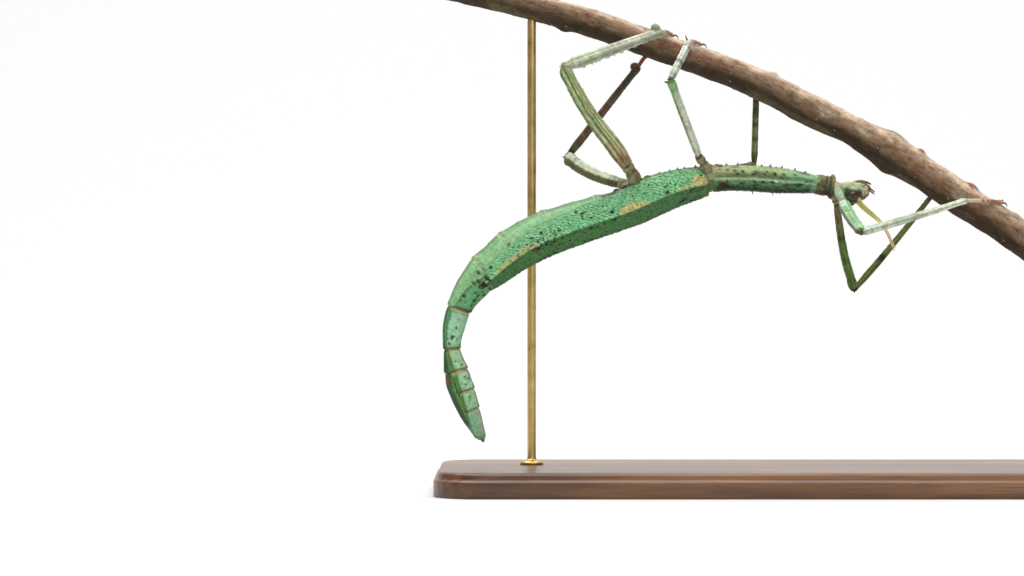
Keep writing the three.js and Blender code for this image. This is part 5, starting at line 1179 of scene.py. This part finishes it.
    def tibia_colour(t, a, P):
        n, m = noise(P, 1.7, seed + 21, 2), noise(P, 0.38, seed + 22, 2)
        c = lerp(tint["tibia"][0], tint["tibia"][1], step(t, 0.1, 0.8)[..., None])
        stripes = 0.5 + 0.5 * np.cos((a - 0.3) * 5 + 0.5 * n)
        c = blend(c, tint["edge"], 0.75 * (1 - step(stripes, 0.05, 0.35)) * step(m, -0.9, 0.0))
        fine = np.cos((a + 0.1 * n) * 17)
        c = blend(c, tint["band"], 0.4 * step(fine, 0.5, 0.95) * step(n, -0.3, 0.5))
        zones = noise(np.stack([t * 7, t * 0, t * 0], -1), 1.0, seed + 8, 1)
        c = blend(c, tint["band"], tint["bands"] * step(zones, 0.2, 0.45) * step(m, -0.7, 0.0))
        if mid_left:
            c = blend(c, rgb(64, 72, 56), 0.85 * bump(t, 0.44, 0.05) + 0.7 * (1 - step(t, 0.03, 0.2)) * step(m, -0.5, 0.2))
        if name == "midleg_right":
            for b in (0.06, 0.37, 0.55, 0.93):
                c = blend(c, rgb(78, 60, 42), 0.8 * bump(t, b, 0.035))
        if name == "hindleg_left":
            c = blend(c, rgb(168, 84, 54), 0.75 * (1 - step(t, 0.02, 0.08)) * step(np.cos(a - 2.6), 0.2, 0.8))
            c = blend(c, rgb(104, 128, 92), 0.45 * step(np.cos(a - 2.6), 0.0, 0.8) * step(t, 0.1, 0.2))
        if name == "hindleg_right":
            c = blend(c, rgb(110, 100, 62), 0.7 * (1 - step(t, 0.04, 0.3)) * step(n, -0.3, 0.3))
        c = blend(c, tint["joint"], 0.6 * (1 - step(t, 0.0, 0.05)) + 0.45 * step(t, 0.95, 1.0))
        c = blend(c, rgb(222, 220, 200), (0.4 if "right" not in name else 0.0) * step(noise(P, 0.9, seed + 53, 2), 0.12, 0.5))
        c = blend(c, rgb(150, 116, 84), 0.5 * step(noise(P, 1.3, seed + 54, 2), 0.3, 0.6))
        c = blend(c, BROWN_DARK, 0.5 * step(m, 0.4, 0.7))
        return c * (1 + 0.14 * n + 0.14 * m)[..., None]

    tube(shape, g["tibia"], tibia_radius, bend, 88, 24, tibia_colour, 0.5)
    apex = g["ankle"] - g["shin"] * 0.1
    wide = np.cross(g["shin"], bend)
    if size["knob"]:
        at = g["ankle"] - g["shin"] * (1.1 if g["hand"] == "left" else 0.75) + g["outer"] * (1.0 if g["hand"] == "left" else 0.85)
        ball = rgb(138, 146, 122) if g["hand"] == "left" else rgb(98, 58, 44)
        blob(shape, at, (size["knob"] * 1.12,) * 3, (g["shin"], g["outer"], np.cross(g["shin"], g["outer"])), ball, rings=16, sides=20, rough=0.07, seed=seed + 15)
        for k in range(5):
            a = k * 1.3
            out = unit(g["outer"] + g["shin"] * 0.9 * math.cos(a) + wide * 0.9 * math.sin(a))
            spine(shape, at + out * size["knob"] * 0.92, out, 0.3, 0.14, ball, BROWN_DARK, sides=6)
    # two short spurs at the end of the shin
    for sgn in (1, -1):
        p = apex - g["outer"] * size["tibia"][1] * stout * 0.55 + wide * sgn * size["tibia"][1] * 0.5
        spine(shape, p, unit(g["shin"] - g["outer"] * 0.55 + wide * sgn * 0.3), 0.75, 0.19, tint["joint"], BROWN_DARK, sides=6)
    if mid_left:
        spine(shape, apex + g["outer"] * 0.4, unit(g["shin"] * 0.2 + g["outer"]), 1.6, 0.34, rgb(176, 84, 56), rgb(110, 48, 34), sides=8)
    # spines along the shin's lower edge
    count = 15 if hind else 8
    for k in range(count):
        t = 0.16 + 0.72 * (k + 0.35 * math.sin(k * 2.3 + seed)) / count
        T = np.array(t)
        w = stout * lerp(v0, v1, t)
        for sgn in (1, -1):
            direction = unit(-g["outer"] + wide * sgn * 0.55)
            p = g["tibia"].at(T) + direction * w * 0.82
            spine(shape, p, unit(direction + g["shin"] * 0.35), 0.66 if hind else 0.34, 0.17, lerp(tint["tibia"][0], tint["tibia"][1], t), BROWN, sides=6)
    if hind:
        for k in range(9):
            t = 0.2 + 0.7 * (k + 0.3 * math.sin(k * 1.9 + seed)) / 9
            w = stout * lerp(w0, w1, t)
            for sgn in (1, -1):
                direction = unit(-bend * (-1 if k % 2 else 1) + across * sgn * 0.5)
                p = g["femur"].at(np.array(t)) + direction * w * 0.85
                spine(shape, p, unit(direction + g["thigh"] * 0.3), 0.5, 0.17, lerp(tint["femur"][0], tint["femur"][1], t), tint["joint"], sides=6)

    # ---- tarsus: five pieces in one tube, each swelling towards its end
    lengths = np.array([0, .44, .58, .69, .79, 1.0])

    def tarsus_radius(t, a):
        r = size["tarsus"] * (1 - 0.15 * t)
        k = np.ones_like(t)
        for i in range(5):
            m = lengths[i + 1]
            k = k + 0.26 * bump(t, m - 0.035, 0.035) - 0.26 * bump(t, m + 0.012, 0.016) * (i < 4)
        k = k * (1.08 + 0.06 * noise(np.stack([t * 9, np.cos(a), np.sin(a)], -1), 0.6, seed + 31, 2))
        return r * k, r * k

    def tarsus_colour(t, a, P):
        n = noise(P, 0.4, seed + 33, 2)
        c = lerp(tint["tarsus"][0], tint["tarsus"][1], step(t, 0.1, 0.9)[..., None])
        for m in lengths[1:5]:
            c = blend(c, rgb(84, 46, 32), 0.75 * bump(t, m, 0.03))
        return c * (1 + 0.18 * n)[..., None]

    tube(shape, g["foot"], tarsus_radius, bend, 54, 14, tarsus_colour, 0.45)


def build_claws(shape, name, seed):
    g = leg_geometry(name)
    size = g["size"]
    last = g["foot"].along(np.array(1.0))
    away = unit(g["toe"] - nearest(g["toe"])[0])
    across = unit(np.cross(last, away))
    pad_at = on_bark(g["toe"] + last * 0.45, 0.42)
    blob(shape, pad_at, (0.46, 0.42, 0.34), (last, across, away), rgb(180, 146, 112), rings=12, sides=16, rough=0.06, seed=seed)
    for sgn in (1, -1):
        start = pad_at + across * sgn * 0.22 - last * 0.1
        mid = start + last * 0.75 + across * sgn * 0.42 + away * 0.16
        end = start + last * 1.2 + across * sgn * 0.78 - away * 0.42
        path = spline([start, lerp(start, mid, 0.5) + away * 0.12, mid, end], 200)
        tube(shape, path, lambda t, a: ((0.24 * (1 - 0.88 * t ** 1.5),) * 2), away, 18, 10,
             lambda t, a, P: lerp(rgb(146, 84, 52), rgb(52, 28, 20), step(t, 0.4, 0.95)[..., None]), 0.25)


# ================================================================ branch and stand
def build_perch(shape):
    rings, sides = 640, 110
    t = np.linspace(0, 1, rings)
    at, along = PERCH_PATH.at(t), PERCH_PATH.along(t)
    up = unit(np.array([0.0, 0, 1]) - along * along[:, 2:3])
    side = np.cross(along, up)
    a = np.arange(sides) / sides * 2 * np.pi
    T, A = np.meshgrid(t, a, indexing="ij")
    length = PERCH_PATH.length
    L = T * length
    r0 = stations(PERCH_RADII, at[:, 0])[0]
    r0 = r0 * (1 + 0.025 * np.sin(at[:, 0] * .9) * np.cos(at[:, 0] * .37))
    R = r0[:, None] * np.ones_like(A)
    ring3 = np.stack([L, np.cos(A) * R, np.sin(A) * R], -1)
    n1 = noise(ring3, (5, 1.6, 1.6), 101, 3)
    n2 = noise(ring3, (1.6, .42, .42), 103, 2)
    n3 = noise(ring3, (.5, .22, .22), 105, 2)
    cracks = np.abs(noise(ring3, (3.4, .55, .55), 107, 2))
    crack = 1 - step(cracks, 0.02, 0.10)
    wrinkle = noise(ring3, (.45, 2.4, 2.4), 109, 2)
    out = 0.11 * n1 + 0.055 * n2 + 0.03 * n3 - 0.05 * crack + 0.03 * wrinkle
    # lenticels: short raised lips across the grain
    f1, f2, own = cells(L / 1.9, A * 3.0 / 1.5 + 0.2, 12, 0.9)
    lent = (own > 0.93) * (1 - step(f1, 0.06, 0.17))
    out += 0.08 * lent
    # swollen nodes, old leaf scars and the stubs of buds: share of length, degrees round from the top towards the front, height, spread
    for share, turn, height, wl, wa in ((.5, 10, .55, .8, .26), (.738, 5, .5, 1.0, .26), (.826, 8, .5, 1.5, .3), (.19, 170, .5, 1.3, .4),
                                        (.115, 8, 1.0, 2.6, .7), (.705, 175, .45, 1.6, .5), (.69, -20, .5, 3.0, .9), (.30, 100, .22, 1.1, .3),
                                        (.42, 60, .25, .9, .3), (.60, 80, .2, 1.2, .35), (.86, 100, .3, 1.6, .4), (.93, 50, .25, 1.0, .3),
                                        (.08, 120, .25, 1.0, .3), (.26, 30, .22, .9, .25), (.36, 20, .2, .7, .2), (.565, 30, .26, .8, .25),
                                        (.64, 15, .3, .9, .24), (.78, 30, .3, .9, .25), (.90, 12, .35, .9, .25), (.55, 190, .25, 1.4, .4)):
        da = np.angle(np.exp(1j * (A - rad(turn))))
        out += height * np.exp(-((L - share * length) / wl) ** 2 - (da / wa) ** 2)
    R = R * 0.985 + out
    # ends: sawn across, a little rounded at the bark
    P = at[:, None] + up[:, None] * (np.cos(A) * R)[..., None] + side[:, None] * (np.sin(A) * R)[..., None] * SIDE_SIGN
    top = np.cos(A)
    P3 = ring3
    col = np.ones(P.shape) * rgb(122, 98, 76)
    long1 = noise(P3, (14, 2.0, 2.0), 117, 2)
    # painted light: the bark is painted lighter on its top (lit), with a pale painted highlight along the top, and
    # painted shade on its underside (dark)
    lit = step(top + 0.22 * long1 + 0.1 * n1, -0.05, 0.75)
    dark = 1 - step(top + 0.25 * long1 + 0.1 * n2, -0.45, 0.1)
    col = blend(col, rgb(160, 132, 108), lit)
    col = blend(col, rgb(218, 194, 170), 0.8 * step(top + 0.3 * n1 + 0.15 * n2, 0.5, 0.95))
    col = blend(col, rgb(58, 48, 38), 0.92 * dark)
    col = blend(col, rgb(104, 94, 66), 0.55 * step(noise(P3, (7, 2.4, 2.4), 113, 1), 0.2, 0.6))
    col = blend(col, rgb(126, 78, 58), 0.5 * step(noise(P3, (6, 2, 2), 115, 2), 0.2, 0.6) * (1 - 0.6 * dark))
    for share, turn, wl, wa in ((.59, 70, 2.4, .42), (.655, 72, 1.8, .32), (.82, 85, 2.0, .3), (.30, 90, 1.3, .25)):
        da = np.angle(np.exp(1j * (A - rad(turn))))
        col = blend(col, rgb(176, 160, 138), 0.6 * (1 - step(np.hypot((L - share * length) / wl, da / wa) + 0.35 * n2, 0.6, 1.1)))
    for share, turn, wl, wa in ((.826, 8, 1.3, .5), (.738, 5, .9, .4)):
        da = np.angle(np.exp(1j * (A - rad(turn))))
        col = blend(col, rgb(140, 66, 52), 0.8 * (1 - step(np.hypot((L - share * length) / wl, da / wa) + 0.3 * n2, 0.6, 1.1)))
    col = blend(col, rgb(48, 38, 30), 0.45 * crack)
    col = blend(col, rgb(62, 48, 38), 0.4 * step(-n2, 0.25, 0.7))
    col = blend(col, rgb(168, 148, 122), 0.6 * lent)
    col = blend(col, rgb(44, 34, 28), 0.6 * (own > 0.93) * bump(f1, 0.21, 0.04))
    col = col * (1 + 0.20 * n3 + 0.12 * n2)[..., None]
    # sawn ends, closed by rings that shrink to the middle
    ends = []
    for end, sgn in ((0, -1), (-1, 1)):
        k = np.linspace(0.97, 0.03, 12)
        centre = at[end]
        n = along[end] * sgn
        face = centre + (P[end] - centre) * k[:, None, None] + n * (0.12 * (1 - k ** 2) * 0.3)[:, None, None]
        grain = noise(face, 0.5, 131, 2)
        cc = np.ones(face.shape) * rgb(202, 170, 124)
        cc = blend(cc, rgb(150, 112, 74), 0.6 * step(np.sin(k * 34)[:, None] + grain, 0.2, 0.9))
        cc = blend(cc, rgb(96, 60, 40), 0.8 * step(k, 0.86, 0.93)[:, None] * np.ones((1, sides)))
        cc = blend(cc, rgb(120, 84, 56), 0.9 * (1 - step(k, 0.08, 0.16))[:, None] * np.ones((1, sides)))
        ends.append((face, cc))
    P = np.concatenate([ends[0][0][::-1], P, ends[1][0]])
    col = np.concatenate([ends[0][1][::-1], col, ends[1][1]])
    shape.rings(P, col, 0.8)


SIDE_SIGN = 1.0


def build_base():
    """The stand's plate: a rounded oblong with a small step and soft edges, turned from rings of its outline."""
    n = 12
    hx, hy, c = BASE["length"] / 2, BASE["depth"] / 2, BASE["corner"]
    corners = [(hx - c, hy - c, 0), (-hx + c, hy - c, 90), (-hx + c, -hy + c, 180), (hx - c, -hy + c, 270)]
    pts = []
    for x, y, a0 in corners:
        for k in range(n + 1):
            a = rad(a0 + 90 * k / n)
            pts.append((x, y, math.cos(a), math.sin(a)))
    pts = np.array(pts)
    prof = [(-1.0, 0.0), (-0.35, 0.0), (-0.1, 0.08), (0.0, 0.35), (0.0, 3.0), (-0.05, 3.2), (-0.35, 3.4), (-0.62, 3.6), (-0.7, 3.9), (-0.78, 4.4), (-1.0, 4.75), (-1.4, 4.95), (-2.0, 5.0), (-5.0, 5.0)]
    rows = []
    for off, z in prof:
        r = c + off
        rows.append(np.stack([pts[:, 0] + pts[:, 2] * r, pts[:, 1] + pts[:, 3] * r, np.full(len(pts), z)], -1))
    for k in (0.85, 0.65, 0.45, 0.25, 0.08):
        last = np.stack([pts[:, 0] + pts[:, 2] * (c - 5), pts[:, 1] + pts[:, 3] * (c - 5), np.full(len(pts), 5.0)], -1)
        rows.append(last * [k, k, 1])
    P = np.stack(rows)
    shape = Shape()
    shape.rings(P, rgb(110, 74, 46), 0.4)
    return shape


def build_rod(x, y):
    top = float(np.interp(x, [p[0] for p in PERCH], [p[2] for p in PERCH])) - 2.2
    r, f = ROD["radius"], ROD["foot"]
    z0 = BASE["height"]
    prof = [(0.05, z0), (f - .08, z0), (f, z0 + .08), (f, z0 + .42), (f - .1, z0 + .55), (f - .45, z0 + .72), (f - .7, z0 + .86), (r + .28, z0 + .95), (r + .06, z0 + 1.2), (r, z0 + 1.6)]
    prof += [(r, z) for z in np.linspace(z0 + 4, top - 1.2, 14)]
    prof += [(r - .03, top - .6), (r - .08, top - .1), (r - .25, top), (0.05, top)]
    prof = np.array(prof)
    a = np.arange(48) / 48 * 2 * np.pi
    P = np.stack([x + prof[:, :1] * np.cos(a), y + prof[:, :1] * np.sin(a), prof[:, 1:] * np.ones((1, 48))], -1)
    shape = Shape()
    shape.rings(P, rgb(190, 156, 88), 0.3)
    return shape


# ================================================================ materials
def new_material(name):
    m = bpy.data.materials.new(name)
    m.use_nodes = True
    nt = m.node_tree
    for node in list(nt.nodes):
        nt.nodes.remove(node)
    out = nt.nodes.new("ShaderNodeOutputMaterial")
    shader = nt.nodes.new("ShaderNodeBsdfPrincipled")
    nt.links.new(shader.outputs[0], out.inputs[0])
    return m, nt, shader


def add(nt, kind, **values):
    node = nt.nodes.new(kind)
    for key, value in values.items():
        if hasattr(node, key):
            setattr(node, key, value)
        else:
            node.inputs[key].default_value = value
    return node


def ramp(nt, fac, stops):
    node = nt.nodes.new("ShaderNodeValToRGB")
    els = node.color_ramp.elements
    while len(els) > 1:
        els.remove(els[-1])
    els[0].position, els[0].color = stops[0][0], (*stops[0][1], 1)
    for pos, col in stops[1:]:
        e = els.new(pos)
        e.color = (*col, 1)
    nt.links.new(fac, node.inputs["Fac"])
    return node.outputs["Color"]


def mix(nt, a, b, fac, mode="MIX"):
    node = nt.nodes.new("ShaderNodeMix")
    node.data_type = "RGBA"
    node.blend_type = mode
    for socket, value in ((node.inputs[0], fac), (node.inputs[6], a), (node.inputs[7], b)):
        if hasattr(value, "links"):
            nt.links.new(value, socket)
        else:
            socket.default_value = value if np.isscalar(value) else (*value, 1)
    return node.outputs[2]


def organic(name, fine=5200.0, coarse=900.0, bump_height=0.00003, tint=0.22, coat=0.0, coat_rough=0.3, specular=0.5, sub=0.0, spread=(0, 0)):
    """Cuticle, horn, bark: the painted tint broken up by grain at two sizes, with matching roughness and relief."""
    m, nt, sh = new_material(name)
    tex = add(nt, "ShaderNodeTexCoord")
    base = add(nt, "ShaderNodeAttribute", attribute_name="Tint", attribute_type="GEOMETRY")
    rough = add(nt, "ShaderNodeAttribute", attribute_name="Rough", attribute_type="GEOMETRY")
    grain = add(nt, "ShaderNodeTexNoise", Scale=fine, Detail=4.0, Roughness=0.6)
    patch = add(nt, "ShaderNodeTexNoise", Scale=coarse, Detail=5.0, Roughness=0.6, Distortion=0.4)
    pores = add(nt, "ShaderNodeTexVoronoi", Scale=fine * 0.9)
    for node in (grain, patch, pores):
        nt.links.new(tex.outputs["Object"], node.inputs["Vector"])
    speck = ramp(nt, patch.outputs["Fac"], [(0.3, (1 - tint,) * 3), (0.5, (1, 1, 1)), (0.72, (1 + tint * 0.9, 1 + tint, 1 + tint * 0.8))])
    colour = mix(nt, base.outputs["Color"], speck, 1.0, "MULTIPLY")
    pore = ramp(nt, pores.outputs["Distance"], [(0.0, (1 - tint,) * 3), (0.35, (1, 1, 1)), (1.0, (1.06, 1.06, 1.06))])
    colour = mix(nt, colour, pore, 0.8, "MULTIPLY")
    nt.links.new(colour, sh.inputs["Base Color"])
    span = add(nt, "ShaderNodeMapRange")
    span.inputs["To Min"].default_value, span.inputs["To Max"].default_value = -0.10, 0.12
    nt.links.new(patch.outputs["Fac"], span.inputs["Value"])
    total = add(nt, "ShaderNodeMath", operation="ADD", use_clamp=True)
    nt.links.new(rough.outputs["Fac"], total.inputs[0])
    nt.links.new(span.outputs[0], total.inputs[1])
    nt.links.new(total.outputs[0], sh.inputs["Roughness"])
    height = add(nt, "ShaderNodeMath", operation="ADD")
    nt.links.new(grain.outputs["Fac"], height.inputs[0])
    nt.links.new(pores.outputs["Distance"], height.inputs[1])
    relief = add(nt, "ShaderNodeBump", Strength=0.55, Distance=bump_height)
    nt.links.new(height.outputs[0], relief.inputs["Height"])
    nt.links.new(relief.outputs["Normal"], sh.inputs["Normal"])
    sh.inputs["Specular IOR Level"].default_value = specular
    if coat:
        sh.inputs["Coat Weight"].default_value = coat
        sh.inputs["Coat Roughness"].default_value = coat_rough
    if sub:
        sh.inputs["Subsurface Weight"].default_value = sub
        sh.inputs["Subsurface Radius"].default_value = (0.4, 0.5, 0.25)
        sh.inputs["Subsurface Scale"].default_value = 0.001
    return m


def wood_material():
    m, nt, sh = new_material("stand_hardwood")
    tex = add(nt, "ShaderNodeTexCoord")
    stretch = add(nt, "ShaderNodeMapping")
    stretch.inputs["Scale"].default_value = (9.0, 95.0, 140.0)
    nt.links.new(tex.outputs["Object"], stretch.inputs["Vector"])
    broad = add(nt, "ShaderNodeTexNoise", Scale=1.0, Detail=3.0, Roughness=0.5, Distortion=1.4)
    nt.links.new(stretch.outputs[0], broad.inputs["Vector"])
    waves = add(nt, "ShaderNodeTexWave", Scale=2.2, Distortion=4.0, Detail=3.0)
    waves.bands_direction = "Y"
    nt.links.new(stretch.outputs[0], waves.inputs["Vector"])
    fibre_map = add(nt, "ShaderNodeMapping")
    fibre_map.inputs["Scale"].default_value = (90.0, 2600.0, 2600.0)
    nt.links.new(tex.outputs["Object"], fibre_map.inputs["Vector"])
    fibre = add(nt, "ShaderNodeTexNoise", Scale=1.0, Detail=4.0, Roughness=0.65)
    nt.links.new(fibre_map.outputs[0], fibre.inputs["Vector"])
    c1 = ramp(nt, broad.outputs["Fac"], [(0.3, tuple(rgb(74, 46, 28))), (0.5, tuple(rgb(116, 76, 46))), (0.7, tuple(rgb(146, 100, 62)))])
    c2 = ramp(nt, waves.outputs["Fac"], [(0.0, (0.72, 0.7, 0.68)), (0.45, (1, 1, 1)), (1.0, (1.12, 1.1, 1.06))])
    c3 = ramp(nt, fibre.outputs["Fac"], [(0.36, (0.5, 0.47, 0.44)), (0.5, (1, 1, 1)), (1.0, (1.1, 1.1, 1.1))])
    colour = mix(nt, mix(nt, c1, c2, 0.8, "MULTIPLY"), c3, 0.7, "MULTIPLY")
    nt.links.new(colour, sh.inputs["Base Color"])
    r = add(nt, "ShaderNodeMapRange")
    r.inputs["To Min"].default_value, r.inputs["To Max"].default_value = 0.46, 0.3
    nt.links.new(fibre.outputs["Fac"], r.inputs["Value"])
    nt.links.new(r.outputs[0], sh.inputs["Roughness"])
    relief = add(nt, "ShaderNodeBump", Strength=0.35, Distance=0.00006)
    nt.links.new(fibre.outputs["Fac"], relief.inputs["Height"])
    nt.links.new(relief.outputs["Normal"], sh.inputs["Normal"])
    sh.inputs["Coat Weight"].default_value = 0.25
    sh.inputs["Coat Roughness"].default_value = 0.28
    return m


def brass_material():
    m, nt, sh = new_material("stand_brass")
    tex = add(nt, "ShaderNodeTexCoord")
    turn = add(nt, "ShaderNodeMapping")
    turn.inputs["Scale"].default_value = (300.0, 300.0, 9000.0)
    nt.links.new(tex.outputs["Object"], turn.inputs["Vector"])
    lines = add(nt, "ShaderNodeTexNoise", Scale=1.0, Detail=3.0)
    nt.links.new(turn.outputs[0], lines.inputs["Vector"])
    tarnish = add(nt, "ShaderNodeTexNoise", Scale=260.0, Detail=5.0, Roughness=0.65)
    nt.links.new(tex.outputs["Object"], tarnish.inputs["Vector"])
    c = ramp(nt, tarnish.outputs["Fac"], [(0.3, tuple(rgb(190, 156, 98))), (0.52, tuple(rgb(214, 182, 120))), (0.75, tuple(rgb(226, 198, 140)))])
    nt.links.new(c, sh.inputs["Base Color"])
    r = add(nt, "ShaderNodeMapRange")
    r.inputs["To Min"].default_value, r.inputs["To Max"].default_value = 0.2, 0.42
    nt.links.new(tarnish.outputs["Fac"], r.inputs["Value"])
    nt.links.new(r.outputs[0], sh.inputs["Roughness"])
    relief = add(nt, "ShaderNodeBump", Strength=0.25, Distance=0.00001)
    nt.links.new(lines.outputs["Fac"], relief.inputs["Height"])
    nt.links.new(relief.outputs["Normal"], sh.inputs["Normal"])
    sh.inputs["Metallic"].default_value = 1.0
    return m


def floor_material():
    m, nt, sh = new_material("studio_paper")
    tex = add(nt, "ShaderNodeTexCoord")
    grain = add(nt, "ShaderNodeTexNoise", Scale=900.0, Detail=4.0)
    nt.links.new(tex.outputs["Object"], grain.inputs["Vector"])
    c = ramp(nt, grain.outputs["Fac"], [(0.3, (0.74, 0.74, 0.735)), (0.7, (0.78, 0.78, 0.775))])
    nt.links.new(c, sh.inputs["Base Color"])
    sh.inputs["Roughness"].default_value = 0.9
    sh.inputs["Specular IOR Level"].default_value = 0.1
    return m


# ================================================================ the scene
def body_pieces():
    cuticle = organic("cuticle", 4200.0, 1500.0, 0.00005, 0.30, specular=0.22)
    wing = organic("wing_leather", 4200.0, 1200.0, 0.00005, 0.20, specular=0.22)
    horn = organic("horn", 6000.0, 1500.0, 0.00002, 0.2, specular=0.35)
    lens = organic("eye_lens", 9000.0, 1500.0, 0.000004, 0.08, coat=0.35, coat_rough=0.12, specular=0.35)
    bark = organic("bark", 3600.0, 520.0, 0.00009, 0.30, specular=0.15)

    skin = Shape()
    skin_trunk(skin)
    skin_spines(skin)
    skin_knobs(skin)
    skin_operculum(skin)
    skin_cerci(skin)
    skin_head(skin)
    skin_antennae(skin)
    for k, name in enumerate(LEGS):
        skin_leg(skin, name, 200 + 37 * k)
    flesh = ["prothorax", "mesothorax", "metathorax"] + [f"abdomen_{i}" for i in range(1, 11)] + ["operculum", "head", "antenna_left", "antenna_right"]
    flesh += [f"{leg}_{piece}" for leg in LEGS for piece in ("coxa", "femur", "tibia", "tarsus")]
    print("skin triangles", skin.triangles())
    skin.build("insect_skin", cuticle, "cuticle_green", flesh)

    mouth = Shape()
    build_mouth(mouth)
    mouth.build("insect_mouthparts", horn, "mouth", ["mouthparts"])
    for side, name in ((1, "left"), (-1, "right")):
        build_eye(side).build(f"insect_eye_{name}", lens, "eye", [f"eye_{name}"])
        for kind in ("tegmen", "hindwing"):
            w = wing_shape(kind, side)
            print(kind, name, w.triangles())
            w.build(f"insect_{kind}_{name}", wing, "wing", [f"{kind}_{name}"])
    for k, name in enumerate(LEGS):
        claws = Shape()
        build_claws(claws, name, 500 + k)
        claws.build(f"insect_{name}_claws", horn, "claw", [f"{name}_claws"])
    perch = Shape()
    build_perch(perch)
    print("perch", perch.triangles())
    perch.build("perch_bark", bark, "bark", ["perch_branch"])


def stand_pieces():
    wood, brass = wood_material(), brass_material()
    build_base().build("stand_plate", wood, "stand_wood", ["stand_base"])
    for name, (x, y) in (("left", ROD["left"]), ("right", ROD["right"])):
        build_rod(x, y).build(f"stand_pin_{name}", brass, "stand_brass", [f"stand_rod_{name}"])


def studio():
    # floor that sweeps up behind into a plain backdrop
    prof = [(-1.6, 0.0), (0.55, 0.0)]
    prof += [(0.55 + 0.6 * math.sin(a), 0.6 * (1 - math.cos(a))) for a in np.linspace(0.05, math.pi / 2, 24)]
    prof += [(1.15, 1.2), (1.15, 2.6)]
    xs = np.linspace(-2.6, 2.6, 9)
    verts = [(x, y, z) for y, z in prof for x in xs]
    n = len(xs)
    faces = [(j * n + i, j * n + i + 1, (j + 1) * n + i + 1, (j + 1) * n + i) for j in range(len(prof) - 1) for i in range(n - 1)]
    me = bpy.data.meshes.new("studio_floor")
    me.from_pydata(verts, [], faces)
    me.update()
    me.polygons.foreach_set("use_smooth", np.ones(len(faces), bool))
    me.materials.append(floor_material())
    ob = bpy.data.objects.new("studio_floor", me)
    bpy.context.scene.collection.objects.link(ob)

    def area(name, at, target, size, power, colour=(1, 1, 1)):
        light = bpy.data.lights.new(name, "AREA")
        light.shape = "RECTANGLE"
        light.size, light.size_y = size
        light.energy = power
        light.color = colour
        lo = bpy.data.objects.new(name, light)
        lo.location = at
        d = np.array(target) - np.array(at)
        pitch = math.acos(-d[2] / np.linalg.norm(d))
        lo.rotation_euler = (pitch, 0, math.atan2(-d[0], d[1]))
        bpy.context.scene.collection.objects.link(lo)
        return lo

    area("key_top", (-0.12, -0.18, 0.75), (-0.0, 0.0, 0.06), (0.7, 0.6), 4.6, (1.0, 0.99, 0.965))
    area("fill_front", (0.35, -0.95, 0.42), (0.0, 0.0, 0.06), (0.8, 0.6), 1.5, (0.97, 0.985, 1.0))
    area("back_wash", (0.0, 0.55, 1.5), (0.0, 1.0, 0.2), (2.2, 0.8), 22.0)
    world = bpy.data.worlds.new("studio_world")
    world.use_nodes = True
    bg = world.node_tree.nodes["Background"]
    bg.inputs["Color"].default_value = (0.93, 0.96, 1.0, 1)
    bg.inputs["Strength"].default_value = 0.27
    bpy.context.scene.world = world
    bpy.context.scene.view_settings.view_transform = "Standard"

    cam = bpy.data.cameras.new("camera")
    cam.sensor_width = 36.0
    cam.lens = 36.0 * 650.0 / 204.8
    cam.clip_start, cam.clip_end = 0.01, 20.0
    co = bpy.data.objects.new("camera", cam)
    co.location = (-0.0496, -0.654, 0.0408)
    co.rotation_euler = (math.pi / 2, 0, 0)
    bpy.context.scene.collection.objects.link(co)
    bpy.context.scene.camera = co


studio()
body_pieces()
stand_pieces()
bpy.context.view_layer.update()
